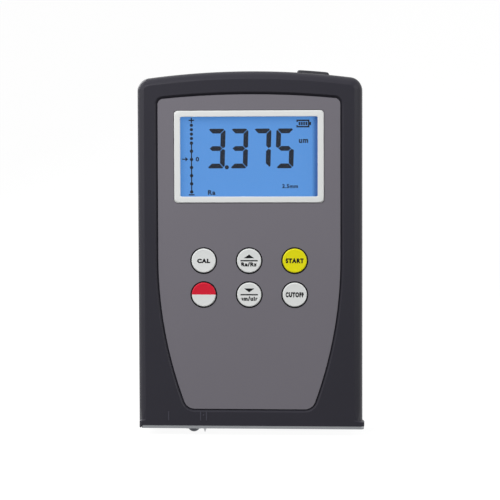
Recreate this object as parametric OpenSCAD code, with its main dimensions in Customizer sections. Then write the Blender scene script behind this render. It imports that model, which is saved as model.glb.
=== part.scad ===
// Palm-size surface roughness tester with a skidded stylus pickup.
// X runs to the right, Y to the back and Z up. The origin is the centre of the measuring face, under the base plate.

/* [Housing] */
// Width of the housing above its foot
body_w = 80; // [78:0.5:90]
// Height of the crown of the arched top above the measuring face
body_h = 127.3; // [125:0.1:140]
// Depth of the housing from front to back
body_d = 30; // [29.5:0.5:36]
// Radius of the arched top
crown_r = 280; // [200:5:400]
// Radius of the two top corners
corner_r = 4.5; // [4:0.25:8]
// Radius of the sweep from the side walls to the front face
bevel_r = 5; // [4:0.25:7]
// Angle at which that sweep meets the front face in a crease
bevel_angle = 62; // [50:1:75]
// Radius of the crease
crease_r = 0.5; // [0.3:0.1:0.8]
// Radius of the rounded rear edges
rear_edge_r = 3.5; // [2:0.25:5]
// Thickness of the moulded side walls
wall = 2.2; // [1.8:0.1:2.6]
// Thickness of the moulded front and back walls
face_wall = 2.4; // [2.2:0.1:3]
// Thickness of the moulded floor
floor_t = 1.9; // [1.5:0.1:2.5]
// Distance of the parting line behind the middle of the depth
parting_y = 1; // [0:0.25:2]
// Step of the rear housing inside the front one
parting_step = 0.25; // [0.1:0.05:0.5]
// How far the foot stands out in a lug at its front right corner
lug_out = 0.8; // [0.2:0.1:1]
// Length of that lug
lug_l = 5; // [3:0.5:6]
// How far the foot stays inside the left side
foot_setback = 0.4; // [0:0.1:0.6]
// Height of the upright edge of the foot
foot_h = 1.3; // [1:0.1:3]
// Height over which the foot runs out above its upright edge
flare_run = 0.8; // [0.4:0.1:1.5]
// Height over which the cut corners above the foot blend into the bevelled housing
foot_blend = 5; // [2:0.25:6]

/* [Front panel] */
// Width of the black frame on each side of the panel
frame_border = 7.6; // [6:0.1:9]
// Height of the panel's bottom edge above the measuring face
panel_z0 = 7.1; // [6.5:0.1:12]
// Drop of the panel's crown below the crown of the housing
panel_drop = 8.3; // [7.8:0.1:10]
// Height at which the sides start to curve in
panel_waist = 61; // [55:0.5:70]
// Radius of the sides below that height
panel_side_r = 150; // [130:5:250]
// Radius of the panel's bottom corners
panel_corner_r = 3.9; // [2:0.1:5]
// Thickness of the panel
panel_t = 0.6; // [0.4:0.1:0.7]
// Depth of the recess that holds the panel
recess_depth = 0.9; // [0.8:0.05:1]
// Width of the sloped rim round the recess
recess_rim = 0.9; // [0.6:0.1:1.2]

/* [Display] */
// Distance from the panel's sides to the white display frame
bezel_margin = 5.8; // [4:0.1:8]
// Height of the white display frame
bezel_h = 32.7; // [30:0.1:34]
// Width of the frame's visible border
bezel_border = 2.2; // [1.6:0.1:3]
// Drop of the display's centre below the crown of the housing
display_drop = 30.3; // [30:0.1:32]
// Thickness of the display cell
lcd_t = 2; // [1.4:0.1:2.4]
// Thickness of the window in front of it
window_t = 1; // [0.8:0.1:1.2]

/* [Keys] */
// Diameter of a key cap
key_d = 8.6; // [7:0.1:9]
// Distance between the key columns
key_pitch_x = 16.2; // [14:0.1:17]
// Distance between the key rows
key_pitch_z = 12.1; // [12:0.1:14]
// Drop of the lower key row below the display's centre
key_drop = 49; // [48:0.1:50]
// Gap round a key cap where it passes the panel
key_gap = 0.5; // [0.3:0.05:0.7]
// Travel of a key
key_travel = 0.5; // [0.3:0.05:0.6]

/* [Base and pickup] */
// Thickness of the metal base plate
base_t = 1.1; // [1:0.1:1.5]
// Distance of the pickup's line in front of the middle
pickup_line = 5; // [4.8:0.1:5.2]
// Distance of the parked stylus from the left side of the housing
stylus_inset = 23.1; // [23:0.1:24]
// Distance of the skid left of the stylus
skid_lead = 4; // [3.9:0.1:4.5]
// How far the skid stands out of the measuring face
skid_drop = 2.5; // [2:0.05:2.6]
// How far the stylus stands out of the measuring face
stylus_drop = 2.65; // [2.2:0.05:2.8]
// Length of the measuring stroke
stroke = 12.5; // [10:0.5:12.5]
// Diameter of the lead screw and of the guide rod
shaft_d = 3; // [2.5:0.1:3.4]
// Diameter of the gear motor
motor_d = 12; // [10:0.5:13]

/* [Power and ports] */
// Diameter of a battery cell
cell_d = 10.4; // [10:0.1:10.6]
// Length of a battery cell with its nub
cell_l = 44.5; // [44:0.1:45]
// Width of the rubber port cover
port_w = 11.4; // [10:0.1:13]
// Height of the port cover above the top of the housing
port_rise = 1; // [0.6:0.1:1.5]
// Distance of the port right of the middle
port_x = 22.5; // [21:0.25:24]
// Diameter of the charge jack's collar
jack_d = 4; // [3.6:0.1:4.5]
// Diameter of the charge jack's bore
jack_bore = 2.5; // [2:0.1:2.7]
// Height of the charge jack above the measuring face
jack_z = 64; // [63:0.5:66]

/* [Hidden] */
$fn = 48;

// Clearances: a shaft in its bore, a moulded piece in its pocket, and what cuts run past a face
run_fit = 0.05;
pocket_fit = 0.15;
slide_fit = 0.2;
past = 0.5;
sliver = 0.01;
least_r = 0.5;

// Planes of the housing
y_front = -body_d / 2;
y_back = body_d / 2;
y_inner = y_front + face_wall;
y_rear_inner = y_back - face_wall;
floor_z = base_t + floor_t;
crown_z = body_h - crown_r;
lip_t = wall / 2 - pocket_fit;
lip_h = 2;
rear_edge_angle = 84;

// Foot: a square plinth; the front corners above it are cut from the sides to the front, with a narrow facet beside
// the cut
foot_z = base_t + foot_h;
foot_corner = 0.8;
foot_left = foot_setback - body_w / 2;
lug_right = body_w / 2 + lug_out;
lug_y = y_front + lug_l;
toe_run = 7;
toe_cut = 1.5;
toe_step = 0.4;
toe_facet = 3.2;
rear_toe = 2;

// Planes of the front stack
y_recess = y_front + recess_depth;
y_panel = y_recess - panel_t;
panel_w = body_w - 2 * frame_border;
panel_z1 = body_h - panel_drop;
panel_crown_extra = 40;
panel_top_corner = 2;
bezel_rise = 0.15;
y_bezel = y_panel - bezel_rise;
bezel_lip = 0.75;
y_window = y_bezel + bezel_lip;
lcd_y0 = y_inner + slide_fit;
backlight_t = 2.5;
board_y0 = lcd_y0 + lcd_t + backlight_t;
board_t = 1.6;
board_y1 = board_y0 + board_t;
bezel_corner = 1.2;
bezel_w = panel_w - 2 * bezel_margin;
display_z = body_h - display_drop;
window_ledge = 0.9;
lcd_margin_x = 1.3;
lcd_margin_z = 1;
lcd_w = bezel_w + 2 * lcd_margin_x;
lcd_h = bezel_h + 2 * lcd_margin_z;
lcd_strip = 2;
lamp_w = 2;
lamp_h = 8;

// Keys, named from the upper left
key_z = display_z - key_drop;
key_rise = 0.25;
key_face = y_panel - key_rise;
key_rim = 0.35;
key_flange_w = 1.2;
key_flange_d = key_d + 2 * key_flange_w;
key_flange_t = 0.8;
key_flange_gap = 0.1;
key_hole_gap = 0.3;
key_hole_d = key_d + 2 * key_hole_gap;
key_stem_d = 3;
key_end_gap = 0.1;
switch_w = 6;
switch_h = 2;
switch_floor = 0.3;
key_cols = [-key_pitch_x, 0, key_pitch_x];
key_rows = [key_z + key_pitch_z, key_z];

// Screws that join the housings
screw_inset = 6.2;
screw_drop = 15;
screw_low_z = 40;
screw_x = body_w / 2 - screw_inset;
screw_zs = [screw_low_z, body_h - screw_drop];
cross_slot_w = 0.5;
cross_slot_share = 0.6;
pillar_d = 6.4;
well_d = 5.2;
pillar_y = -2;
well_floor = 1.2;
housing_screw_d = 2.2;
housing_head_d = 4.4;
housing_head_t = 1.8;
housing_screw_l = 10;

// Board between the pillars, and its bosses
pillar_gap = 0.6;
board_w = 2 * screw_x - pillar_d - 2 * pillar_gap;
board_foot = 6.4;
board_drop = 10;
board_z0 = key_z - board_foot;
board_z1 = body_h - board_drop;
boss_d = 5;
boss_inset = 4;
boss_rise = 3;
boss_gap = 1.2;
boss_x = board_w / 2 - boss_inset;
boss_zs = [board_z0 + boss_rise, display_z - lcd_h / 2 - boss_d / 2 - boss_gap];
board_screw_d = 1.9;
board_screw_bite = 3;
board_head_d = 3.8;
board_head_t = 1.3;

// Base plate, its screws and the window that the pickup runs in
plate_inset = 0.4;
plate_corner = 0.6;
stop_w = 0.6;
stop_z = 0.15;
stop_x = foot_left + stop_w;
base_screw_d = 1.9;
base_head_d = 3.4;
base_head_sink = 0.02;
base_slot_depth = 0.4;
base_boss_d = 4;
base_boss_h = 4;
base_screw_inset = 7;
base_screw_x = body_w / 2 - base_screw_inset;
base_screw_front = y_inner + 1.4;
base_screw_rear = y_rear_inner - 0.2;
pickup_w = 4.8;
stylus_x = body_w / 2 - stylus_inset;
window_play = 0.8;
window_left = 1.7;
window_right = 2.4;
nose_w = 5.2;
nose_x = -stylus_x - skid_lead;
nose_left = nose_x - nose_w / 2;
window_x0 = nose_left - stroke - window_left;
window_x1 = -stylus_x + window_right;
window_y0 = -pickup_line - pickup_w / 2 - window_play;
window_y1 = -pickup_line + pickup_w / 2 + window_play;

// Drive: a screw below a rod, carried by a bracket on the floor, with the motor against the right wall
drive_y = 4;
screw_z = 16;
rod_z = 27;
bracket_t = 1.4;
bracket_y = 8.8;
bracket_top = 32;
ear_y0 = -0.4;
ear_foot = 5;
flange_y0 = 1.6;
bush_d = 6;
bush_collar_d = 7.4;
bush_collar_t = 0.8;
motor_socket = 4;
motor_gap = 0.1;
motor_end_gap = 1.65;
motor_step = 0.8;
motor_boss_d = 4;
motor_boss_l = 1.2;
gearbox_l = 8.4;
motor_l = 22.4;
motor_x0 = body_w / 2 - wall - parting_step - motor_end_gap - motor_l;
ear_gap = 1.8;
ear_left = -body_w / 2 + wall + ear_gap;
ear_right = motor_x0 - motor_gap - bush_collar_t - bracket_t;
groove_w = 0.6;
groove_depth = 0.3;
rod_overhang = 0.4;
bracket_screw_xs = [ear_left + 10, ear_right - 2.5];
bracket_screw_y = 5;
bracket_head_d = 3.8;
bracket_head_t = 1.3;
bracket_screw_d = 2;

// Carriage and pickup
carriage_l = 14;
carriage_park = 5.2;
carriage_x1 = ear_right - carriage_park;
carriage_x0 = carriage_x1 - carriage_l;
carriage_relief = 3;
carriage_y0 = -1;
carriage_y1 = 8.5;
carriage_z0 = 10.4;
carriage_z1 = 31;
pivot_inset = 4;
pivot_x = carriage_x1 - pivot_inset;
pivot_z = 8;
lug_r = 3.2;
pin_d = 2;
pin_head_d = 3.6;
pin_head_t = 0.7;
pin_end = 1;
bar_z0 = 5;
bar_z1 = 11;
nose_drop = 1.3;
nose_z0 = nose_drop - skid_drop;
skid_r = 2.35;
skid_stem_d = 2;
skid_stem_top = 4;
arm_z = 6.2;
arm_t = 1.2;
arm_w = 1.2;
arm_slot_w = 2;
arm_slot_top = 7.8;
arm_pivot_share = 10 / 21;
arm_pivot_x = pivot_x - (pivot_x + stylus_x) * arm_pivot_share;
arm_hub_d = 2.2;
arm_tail_l = 2.4;
arm_tail = arm_pivot_x + arm_tail_l;
arm_pin_d = 1;
arm_pin_fit = 0.02;
nose_step = 0.6;
stylus_d = 1.5;
stylus_tip_d = 0.12;
stylus_cone_l = 1.7;

// Battery bay, its cover and contacts
cell_count = 4;
cell_gap = 0.6;
bay_margin = 1;
cell_pitch = cell_d + cell_gap;
bay_w = cell_count * cell_pitch + 2 * bay_margin;
spring_l = 4.6;
plate_t = 0.4;
bay_l = cell_l + spring_l + 2 * plate_t + 3 * slide_fit;
bay_drop = 18;
bay_z1 = body_h - bay_drop;
bay_z0 = bay_z1 - bay_l;
bay_wall = 1.3;
cover_t = 1.8;
cover_ledge = 1.7;
cover_corner = 2;
y_cover = y_back - cover_t;
cell_y = y_cover - slide_fit - cell_d / 2;
bay_floor = cell_y - cell_d / 2 - slide_fit;
nub_d = 3.8;
nub_l = 0.9;
spring_wire = 0.6;
spring_turns = 3;
spring_r0 = 4;
spring_r1 = 2.4;
cell_xs = [for (k = [0 : cell_count - 1]) (k - (cell_count - 1) / 2) * cell_pitch];

// Ports
port_d = 7.4;
port_corner = 1.6;
port_stem_w = 8.4;
port_stem_d = 3.4;
socket_w = 8;
socket_d = 3.8;
socket_l = 10;
socket_slot = 2.2;
socket_wall = 0.7;
socket_floor = 3;
port_y = board_y1 + socket_d / 2;
port_inner_z = crown_z + sqrt(pow(crown_r - wall, 2) - pow(port_x + port_stem_w / 2, 2));
jack_body_w = 5;
jack_body_l = 9;
jack_y = board_y1 + jack_body_w / 2;
jack_rise = 0.4;
jack_bore_l = 9;
jack_x = -body_w / 2 - jack_rise;

// Marks on the front that show the measuring stroke
mark_w = 0.35;
mark_h = 3.2;
mark_z = 2.9;
mark_rise = 0.15;
mark_pair = 2.1;
mark_shift = 0.4;
mark_dot_d = 0.5;
mark_dot_z = mark_z + 2;

black = [0.13, 0.13, 0.15];
grey = [0.43, 0.42, 0.45];
white = [0.82, 0.84, 0.85];
steel = [0.66, 0.66, 0.68];
brass = [0.72, 0.58, 0.32];

// Points of an arc, both ends included
function arc(c, r, a0, a1, n) =
    [for (k = [0 : n]) let (a = a0 + (a1 - a0) * k / n) [c[0] + r * cos(a), c[1] + r * sin(a)]];

function without_ends(list) = [for (k = [1 : len(list) - 2]) list[k]];

// Front outline of the housing, moved in by i, from the height z0 up
function body_outline(i, z0) =
    let (w = body_w / 2 - i)
    let (r = max(corner_r - i, least_r))
    let (c = [w - r, crown_z + sqrt(pow(crown_r - i - r, 2) - pow(w - r, 2))])
    let (a = atan2(c[1] - crown_z, c[0]))
    concat([[-w, z0], [w, z0]], arc(c, r, 0, a, 8), without_ends(arc([0, crown_z], crown_r - i, a, 180 - a, 24)),
        arc([-c[0], c[1]], r, 180 - a, 180, 8));

// Outline of the front panel, moved in by i
function panel_outline(i) =
    let (w = panel_w / 2 - i)
    let (top_r = crown_r + panel_crown_extra - i)
    let (top_c = panel_z1 - i - top_r)
    let (r1 = max(panel_top_corner - i, least_r))
    let (c1 = [w - r1, top_c + sqrt(pow(top_r - r1, 2) - pow(w - r1, 2))])
    let (a1 = atan2(c1[1] - top_c, c1[0]))
    let (side_r = panel_side_r - i)
    let (side_c = w - side_r)
    let (r2 = max(panel_corner_r - i, least_r))
    let (z2 = panel_z0 + i + r2)
    let (c2 = [side_c + sqrt(pow(side_r - r2, 2) - pow(panel_waist - z2, 2)), z2])
    let (a2 = atan2(z2 - panel_waist, c2[0] - side_c))
    let (right = concat(arc(c2, r2, -90, a2, 8), without_ends(arc([side_c, panel_waist], side_r, a2, 0, 14)),
        [[w, panel_waist]], arc(c1, r1, 0, a1, 6)))
    concat(right, without_ends(arc([0, top_c], top_r, a1, 180 - a1, 20)),
        [for (k = [len(right) - 1 : -1 : 0]) [-right[k][0], right[k][1]]]);

// Sweep from the side wall to a face: [distance from the face, inset] for each step
function sweep(r, angle, n) =
    [for (k = [0 : n]) let (a = angle * (1 - k / n)) [r * (sin(angle) - sin(a)), r * (1 - cos(a))]];

// The front sweep ends in a small arc, which rounds the crease
function front_sweep() =
    let (steps = 3)
    let (crease_depth = crease_r * (1 - sin(bevel_angle)))
    let (crease_inset = bevel_r * (1 - cos(bevel_angle)) + crease_r * cos(bevel_angle))
    concat([for (k = [0 : steps - 1]) let (a = 90 - (90 - bevel_angle) * k / steps)
            [crease_r * (1 - sin(a)), crease_inset - crease_r * cos(a)]],
        [for (s = sweep(bevel_r, bevel_angle, 7)) [s[0] + crease_depth, s[1]]]);

function rear_sweep() = sweep(rear_edge_r, rear_edge_angle, 5);

// Closes a right-hand outline with its mirror image
function both_sides(right) = concat(right, [for (k = [len(right) - 1 : -1 : 0]) [-right[k][0], right[k][1]]]);

// Right-hand outlines of the cut corners of each housing
function front_toe() =
    let (half = body_w / 2)
    [[half, parting_y], [half, y_front + toe_run], [half - toe_cut, y_front + toe_step], [half - toe_facet, y_front]];

function rear_toe_outline() =
    let (half = body_w / 2 - parting_step)
    [[half, parting_y], [half, y_back - rear_toe], [half - rear_toe, y_back]];

// Outline of the foot from the parting plane to the plane y, with its corners cut, pulled in by the given amount
function foot_outline(y, inset) =
    let (left = foot_left + inset, right = body_w / 2 - inset, y_cut = y + (y < parting_y ? foot_corner : -foot_corner))
    [[right, parting_y], [right, y_cut], [right - foot_corner, y], [left + foot_corner, y], [left, y_cut],
        [left, parting_y]];

// Outline of the lug at the front right corner, set back from the front and pulled in at its end and its rear
function lug_outline(back, inset) =
    let (root = body_w / 2 - toe_facet, right = lug_right - inset, y = y_front + back)
    [[root, y], [right - foot_corner, y], [right, y + foot_corner], [right, lug_y - inset],
        [body_w / 2 - inset, lug_y + lug_out - inset], [root, lug_y + lug_out - inset]];

// Extrudes a front outline from the plane y0 back to the plane y1
module slab(y0, y1) {
    translate([0, y1, 0]) rotate([90, 0, 0]) linear_extrude(y1 - y0) children();
}

// Extrudes a plan outline from the height z0 up to the height z1
module rise(z0, z1) {
    translate([0, 0, z0]) linear_extrude(z1 - z0) children();
}

// A peg along Y, centred on [x, z]
module peg(x, z, d, y0, y1) {
    translate([x, y1, z]) rotate([90, 0, 0]) cylinder(d = d, h = y1 - y0);
}

// A rod along X, centred on [y, z]
module rod(y, z, d, x0, x1) {
    translate([x0, y, z]) rotate([0, 90, 0]) cylinder(d = d, h = x1 - x0);
}

// A block given by its two corners
module block(a, b) {
    translate(a) cube(b - a);
}

// A rectangle with round corners, centred
module round_rect(w, h, r) {
    square([w - 2 * r, h], center = true);
    square([w, h - 2 * r], center = true);
    for (x = [-1, 1], y = [-1, 1]) translate([x * (w / 2 - r), y * (h / 2 - r)]) circle(r);
}

// Skin through outlines of equal count, each given as [y, points], from front to back
module loft(rings) {
    n = len(rings[0][1]);
    last = len(rings) - 1;
    skin = [for (k = [0 : last - 1], j = [0 : n - 1])
        let (a = k * n + j, b = k * n + (j + 1) % n) each [[a, b, b + n], [a, b + n, a + n]]];
    polyhedron([for (ring = rings, p = ring[1]) [p[0], ring[0], p[1]]],
        concat([[for (j = [n - 1 : -1 : 0]) j]], skin, [[for (j = [0 : n - 1]) last * n + j]]));
}

// Foot of one housing: a flared edge at the base, a blend up into the bevelled section, and at the left end a stop
// for the base plate
module foot(section, flared, plain) {
    hull() {
        rise(base_t, foot_z) polygon(flared);
        rise(base_t, foot_z + flare_run) polygon(both_sides(plain));
    }
    hull() {
        rise(base_t, foot_z) polygon(both_sides(plain));
        rise(foot_z + foot_blend, foot_z + foot_blend + sliver) polygon(section);
    }
    intersection() {
        rise(stop_z, foot_z) polygon(flared);
        block([-body_w, y_front, 0], [stop_x, y_back, foot_z]);
    }
}

// Lug of the foot, which slopes back to the cut corner above it
module lug() {
    hull() {
        rise(base_t, foot_z) polygon(lug_outline(0, 0));
        rise(base_t, foot_z + flare_run) intersection() {
            polygon(lug_outline(0, 0));
            polygon(both_sides(front_toe()));
        }
    }
}

// Screw with a flat round head: the head lies on the plane z = 0 and the shank points down
module flat_screw(d, l, head_d, head_t) {
    difference() {
        union() {
            cylinder(d = head_d, h = head_t);
            translate([0, 0, -l]) cylinder(d = d, h = l + head_t / 2);
        }
        translate([0, 0, head_t]) cross_slot(head_d, head_t / 2);
    }
}

// Cross recess in a screw head that lies on the plane z = 0
module cross_slot(head_d, depth) {
    for (a = [0, 90]) rotate([0, 0, a]) cube([head_d * cross_slot_share, cross_slot_w, 2 * depth], center = true);
}

module front_housing() {
    sides = front_sweep();
    rings = concat([for (s = sides) [y_front + s[0], body_outline(s[1], base_t)]],
        [[parting_y, body_outline(0, base_t)]]);
    section = both_sides(concat([for (s = sides) [body_w / 2 - s[1], y_front + s[0]]], [[body_w / 2, parting_y]]));
    color(black) difference() {
        union() {
            difference() {
                union() {
                    loft(rings);
                    foot(section, foot_outline(y_front, 0), front_toe());
                    lug();
                }
                slab(y_inner, parting_y + past) polygon(body_outline(wall, floor_z));
                slab(parting_y - lip_h - pocket_fit, parting_y + past)
                    polygon(body_outline(wall - lip_t - pocket_fit, floor_z));
            }
            for (x = [-boss_x, boss_x], z = boss_zs) peg(x, z, boss_d, y_inner - past, board_y0);
            for (x = [-screw_x, screw_x], z = screw_zs) peg(x, z, pillar_d, y_inner - past, pillar_y);
            for (x = [-base_screw_x, base_screw_x]) translate([x, base_screw_front, floor_z - past])
                cylinder(d = base_boss_d, h = base_boss_h + past);
            stroke_marks();
        }
        hull() {
            slab(y_recess, y_recess + sliver) polygon(panel_outline(-pocket_fit));
            slab(y_front - sliver, y_front) polygon(panel_outline(-pocket_fit - recess_rim));
        }
        translate([0, 0, display_z]) slab(y_front, y_inner + past)
            round_rect(bezel_w + 2 * pocket_fit, bezel_h + 2 * pocket_fit, bezel_corner + pocket_fit);
        for (x = key_cols, z = key_rows) peg(x, z, key_hole_d, y_front, y_inner + past);
        for (x = [-boss_x, boss_x], z = boss_zs) peg(x, z, board_screw_d + 2 * run_fit, y_inner, board_y0 + past);
        for (x = [-screw_x, screw_x], z = screw_zs)
            peg(x, z, housing_screw_d + 2 * run_fit, y_inner, pillar_y + past);
        for (x = [-base_screw_x, base_screw_x]) translate([x, base_screw_front, base_t - past])
            cylinder(d = base_screw_d + 2 * run_fit, h = floor_t + base_boss_h - past);
        block([window_x0 - slide_fit, window_y0 - slide_fit, base_t - past],
            [window_x1 + slide_fit, window_y1 + slide_fit, floor_z + past]);
        rod(jack_y, jack_z, jack_d + 2 * pocket_fit, -body_w / 2 - past, -body_w / 2 + wall + past);
        translate([port_x, port_y, port_inner_z - past]) linear_extrude(body_h)
            square([port_stem_w + 2 * pocket_fit, port_stem_d + 2 * pocket_fit], center = true);
    }
}

// Moulded lines under the panel: one at the far end of the stroke, two beside the parked stylus
module stroke_marks() {
    park = mark_shift - stylus_x;
    for (x = [park - stroke, park - mark_pair / 2, park + mark_pair / 2])
        block([x - mark_w / 2, y_front - mark_rise, mark_z], [x + mark_w / 2, y_front + past, mark_z + mark_h]);
    peg(park, mark_dot_z, mark_dot_d, y_front - mark_rise, y_front + past);
}

module rear_housing() {
    sides = rear_sweep();
    rings = concat([[parting_y, body_outline(parting_step, base_t)]],
        [for (k = [len(sides) - 1 : -1 : 0]) [y_back - sides[k][0], body_outline(parting_step + sides[k][1], base_t)]]);
    half_w = body_w / 2 - parting_step;
    section = both_sides(concat([[half_w, parting_y]],
        [for (k = [len(sides) - 1 : -1 : 0]) [half_w - sides[k][1], y_back - sides[k][0]]]));
    bay_x = bay_w / 2 + bay_wall;
    color(black) difference() {
        union() {
            difference() {
                union() {
                    loft(rings);
                    foot(section, foot_outline(y_back, parting_step), rear_toe_outline());
                }
                slab(parting_y - past, y_rear_inner) polygon(body_outline(wall + parting_step, floor_z));
            }
            difference() {
                slab(parting_y - lip_h, parting_y + lip_h) polygon(body_outline(wall - lip_t, floor_z));
                slab(parting_y - lip_h - past, parting_y + lip_h + past) polygon(body_outline(wall, floor_z - past));
            }
            block([-bay_x, bay_floor - bay_wall, bay_z0 - bay_wall], [bay_x, y_back - past, bay_z1 + bay_wall]);
            for (x = [-screw_x, screw_x], z = screw_zs) peg(x, z, pillar_d, pillar_y, y_back - past);
            for (x = [-base_screw_x, base_screw_x]) translate([x, base_screw_rear, floor_z - past])
                cylinder(d = base_boss_d, h = base_boss_h + past);
        }
        block([-bay_w / 2, bay_floor, bay_z0], [bay_w / 2, y_back + past, bay_z1]);
        translate([0, 0, (bay_z0 + bay_z1) / 2]) slab(y_cover, y_back + past)
            round_rect(bay_w + 2 * cover_ledge, bay_l + 2 * cover_ledge, cover_corner);
        cover_grip_cut();
        for (x = [-screw_x, screw_x], z = screw_zs) {
            peg(x, z, housing_screw_d + 4 * run_fit, pillar_y - past, y_back);
            peg(x, z, well_d, pillar_y + well_floor, y_back + past);
        }
        for (x = [-base_screw_x, base_screw_x]) translate([x, base_screw_rear, base_t - past])
            cylinder(d = base_screw_d + 2 * run_fit, h = floor_t + base_boss_h - past);
        for (x = bracket_screw_xs) translate([x, bracket_screw_y, base_t - past])
            cylinder(d = bracket_screw_d + 2 * run_fit, h = floor_t + 2 * past);
    }
}

// Finger scoop in the back wall under the cover
module cover_grip_cut() {
    scoop_r = 9;
    scoop_depth = 1.1;
    scoop_gap = 0.6;
    translate([0, y_back + scoop_r - scoop_depth, bay_z0 - cover_ledge - scoop_gap]) sphere(scoop_r);
}

module front_panel() {
    color(grey) difference() {
        slab(y_panel, y_recess) polygon(panel_outline(0));
        translate([0, 0, display_z]) slab(y_panel - past, y_recess + past)
            round_rect(bezel_w + 2 * pocket_fit, bezel_h + 2 * pocket_fit, bezel_corner + pocket_fit);
        for (x = key_cols, z = key_rows) peg(x, z, key_d + 2 * key_gap, y_panel - past, y_recess + past);
    }
}

module display_bezel() {
    open_w = bezel_w - 2 * bezel_border;
    open_h = bezel_h - 2 * bezel_border;
    color(white) translate([0, 0, display_z]) difference() {
        slab(y_bezel, y_inner) round_rect(bezel_w, bezel_h, bezel_corner);
        slab(y_bezel - past, y_inner + past) square([open_w, open_h], center = true);
        slab(y_window, y_inner + past)
            square([open_w + 2 * window_ledge + 2 * pocket_fit, open_h + 2 * window_ledge + 2 * pocket_fit], center = true);
    }
}

module display_window() {
    color([0.7, 0.8, 0.9, 0.4]) translate([0, 0, display_z]) slab(y_window, y_window + window_t)
        square([bezel_w - 2 * bezel_border + 2 * window_ledge, bezel_h - 2 * bezel_border + 2 * window_ledge], center = true);
}

// Two glass plates, the rear one longer at the bottom for its contact strip
module lcd_cell() {
    glass_t = lcd_t / 2;
    color([0.38, 0.59, 0.86]) translate([0, 0, display_z]) {
        translate([0, 0, lcd_strip / 2]) slab(lcd_y0, lcd_y0 + glass_t) square([lcd_w, lcd_h - lcd_strip], center = true);
        slab(lcd_y0 + glass_t, lcd_y0 + lcd_t) square([lcd_w, lcd_h], center = true);
    }
}

// Light guide with a lamp block let into each end
module backlight() {
    guide_w = lcd_w - 1;
    guide_h = lcd_h - 1;
    color([0.9, 0.93, 1]) translate([0, 0, display_z]) difference() {
        slab(lcd_y0 + lcd_t, board_y0) square([guide_w, guide_h], center = true);
        for (side = [-1, 1]) translate([side * guide_w / 2, 0])
            slab(board_y0 - backlight_t / 2, board_y0 + past) square([2 * lamp_w, lamp_h], center = true);
    }
}

module main_board() {
    color([0.05, 0.3, 0.16]) difference() {
        block([-board_w / 2, board_y0, board_z0], [board_w / 2, board_y1, board_z1]);
        for (x = [-boss_x, boss_x], z = boss_zs)
            peg(x, z, board_screw_d + 4 * run_fit, board_y0 - past, board_y1 + past);
    }
}

// Packages soldered to the back of the board: [x, height above the board's lower edge, width, height, thickness]
module board_chips() {
    chips = [[0, 43, 10, 10, 1.4], [-14, 56, 7, 9, 1.6], [13, 58, 6, 5, 1.5], [-3, 21, 8, 5, 1.6], [14, 21, 4, 8, 2]];
    color([0.1, 0.1, 0.11]) for (c = chips) translate([c[0], 0, board_z0 + c[1]])
        slab(board_y1, board_y1 + c[4]) square([c[2], c[3]], center = true);
}

// One key switch under each key, with a collar that guides the key's stem
module tact_switches() {
    color([0.16, 0.16, 0.18]) for (x = key_cols, z = key_rows) difference() {
        translate([x, 0, z]) slab(board_y0 - switch_h, board_y0) square(switch_w, center = true);
        peg(x, z, key_stem_d + 2 * pocket_fit, board_y0 - switch_h - past, board_y0 - switch_floor);
    }
}

module board_screws() {
    color(steel) for (x = [-boss_x, boss_x], z = boss_zs) translate([x, board_y1, z]) rotate([-90, 0, 0])
        flat_screw(board_screw_d, board_t + board_screw_bite, board_head_d, board_head_t);
}

// A key: a cap with a softened rim, a flange behind the wall and a stem into its switch
module key(column, row, paint) {
    flange_y = y_inner + key_flange_gap;
    stem_y = board_y0 - switch_floor - key_travel - key_end_gap;
    color(paint) translate([key_cols[column], 0, key_rows[row]]) rotate([-90, 0, 0]) rotate_extrude() polygon(concat(
        [[0, stem_y], [key_stem_d / 2, stem_y], [key_stem_d / 2, flange_y + key_flange_t],
            [key_flange_d / 2, flange_y + key_flange_t], [key_flange_d / 2, flange_y], [key_d / 2, flange_y]],
        arc([key_d / 2 - key_rim, key_face + key_rim], key_rim, 0, -90, 4),
        [[0, key_face]]));
}

module key_cal() { key(0, 0, white); }

module key_up() { key(1, 0, white); }

module key_start() { key(2, 0, [0.85, 0.82, 0.1]); }

module key_power() { key(0, 1, [0.8, 0.14, 0.2]); }

module key_down() { key(1, 1, white); }

module key_cutoff() { key(2, 1, white); }

module housing_screws() {
    color(steel) for (x = [-screw_x, screw_x], z = screw_zs)
        translate([x, pillar_y + well_floor, z]) rotate([-90, 0, 0])
            flat_screw(housing_screw_d, housing_screw_l, housing_head_d, housing_head_t);
}

// Screw places on the base plate
function base_screw_places() =
    [for (x = [-base_screw_x, base_screw_x], y = [base_screw_front, base_screw_rear]) [x, y, 0]];

module base_plate() {
    left = stop_x + pocket_fit;
    right = body_w / 2 - pocket_fit;
    plate_d = body_d - 2 * plate_inset;
    color(steel) difference() {
        linear_extrude(base_t) {
            translate([(left + right) / 2, 0]) round_rect(right - left, plate_d, plate_corner);
            polygon(lug_outline(plate_inset, pocket_fit));
        }
        block([window_x0, window_y0, -past], [window_x1, window_y1, base_t + past]);
        for (p = base_screw_places()) translate(p) countersink(2 * run_fit);
    }
}

// Countersunk head and shank pointing up from the measuring face, grown by the given clearance
module countersink(grow) {
    translate([0, 0, -past * (grow > 0 ? 1 : 0)])
        cylinder(d = base_screw_d + 2 * grow, h = floor_t + base_boss_h + past * (grow > 0 ? 1 : 0));
    cylinder(d1 = base_head_d + 2 * grow, d2 = base_screw_d + 2 * grow, h = (base_head_d - base_screw_d) / 2);
}

module base_screws() {
    color(steel) for (p = base_screw_places()) translate(p) difference() {
        translate([0, 0, base_head_sink]) countersink(0);
        cross_slot(base_head_d, base_slot_depth);
    }
}

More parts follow.
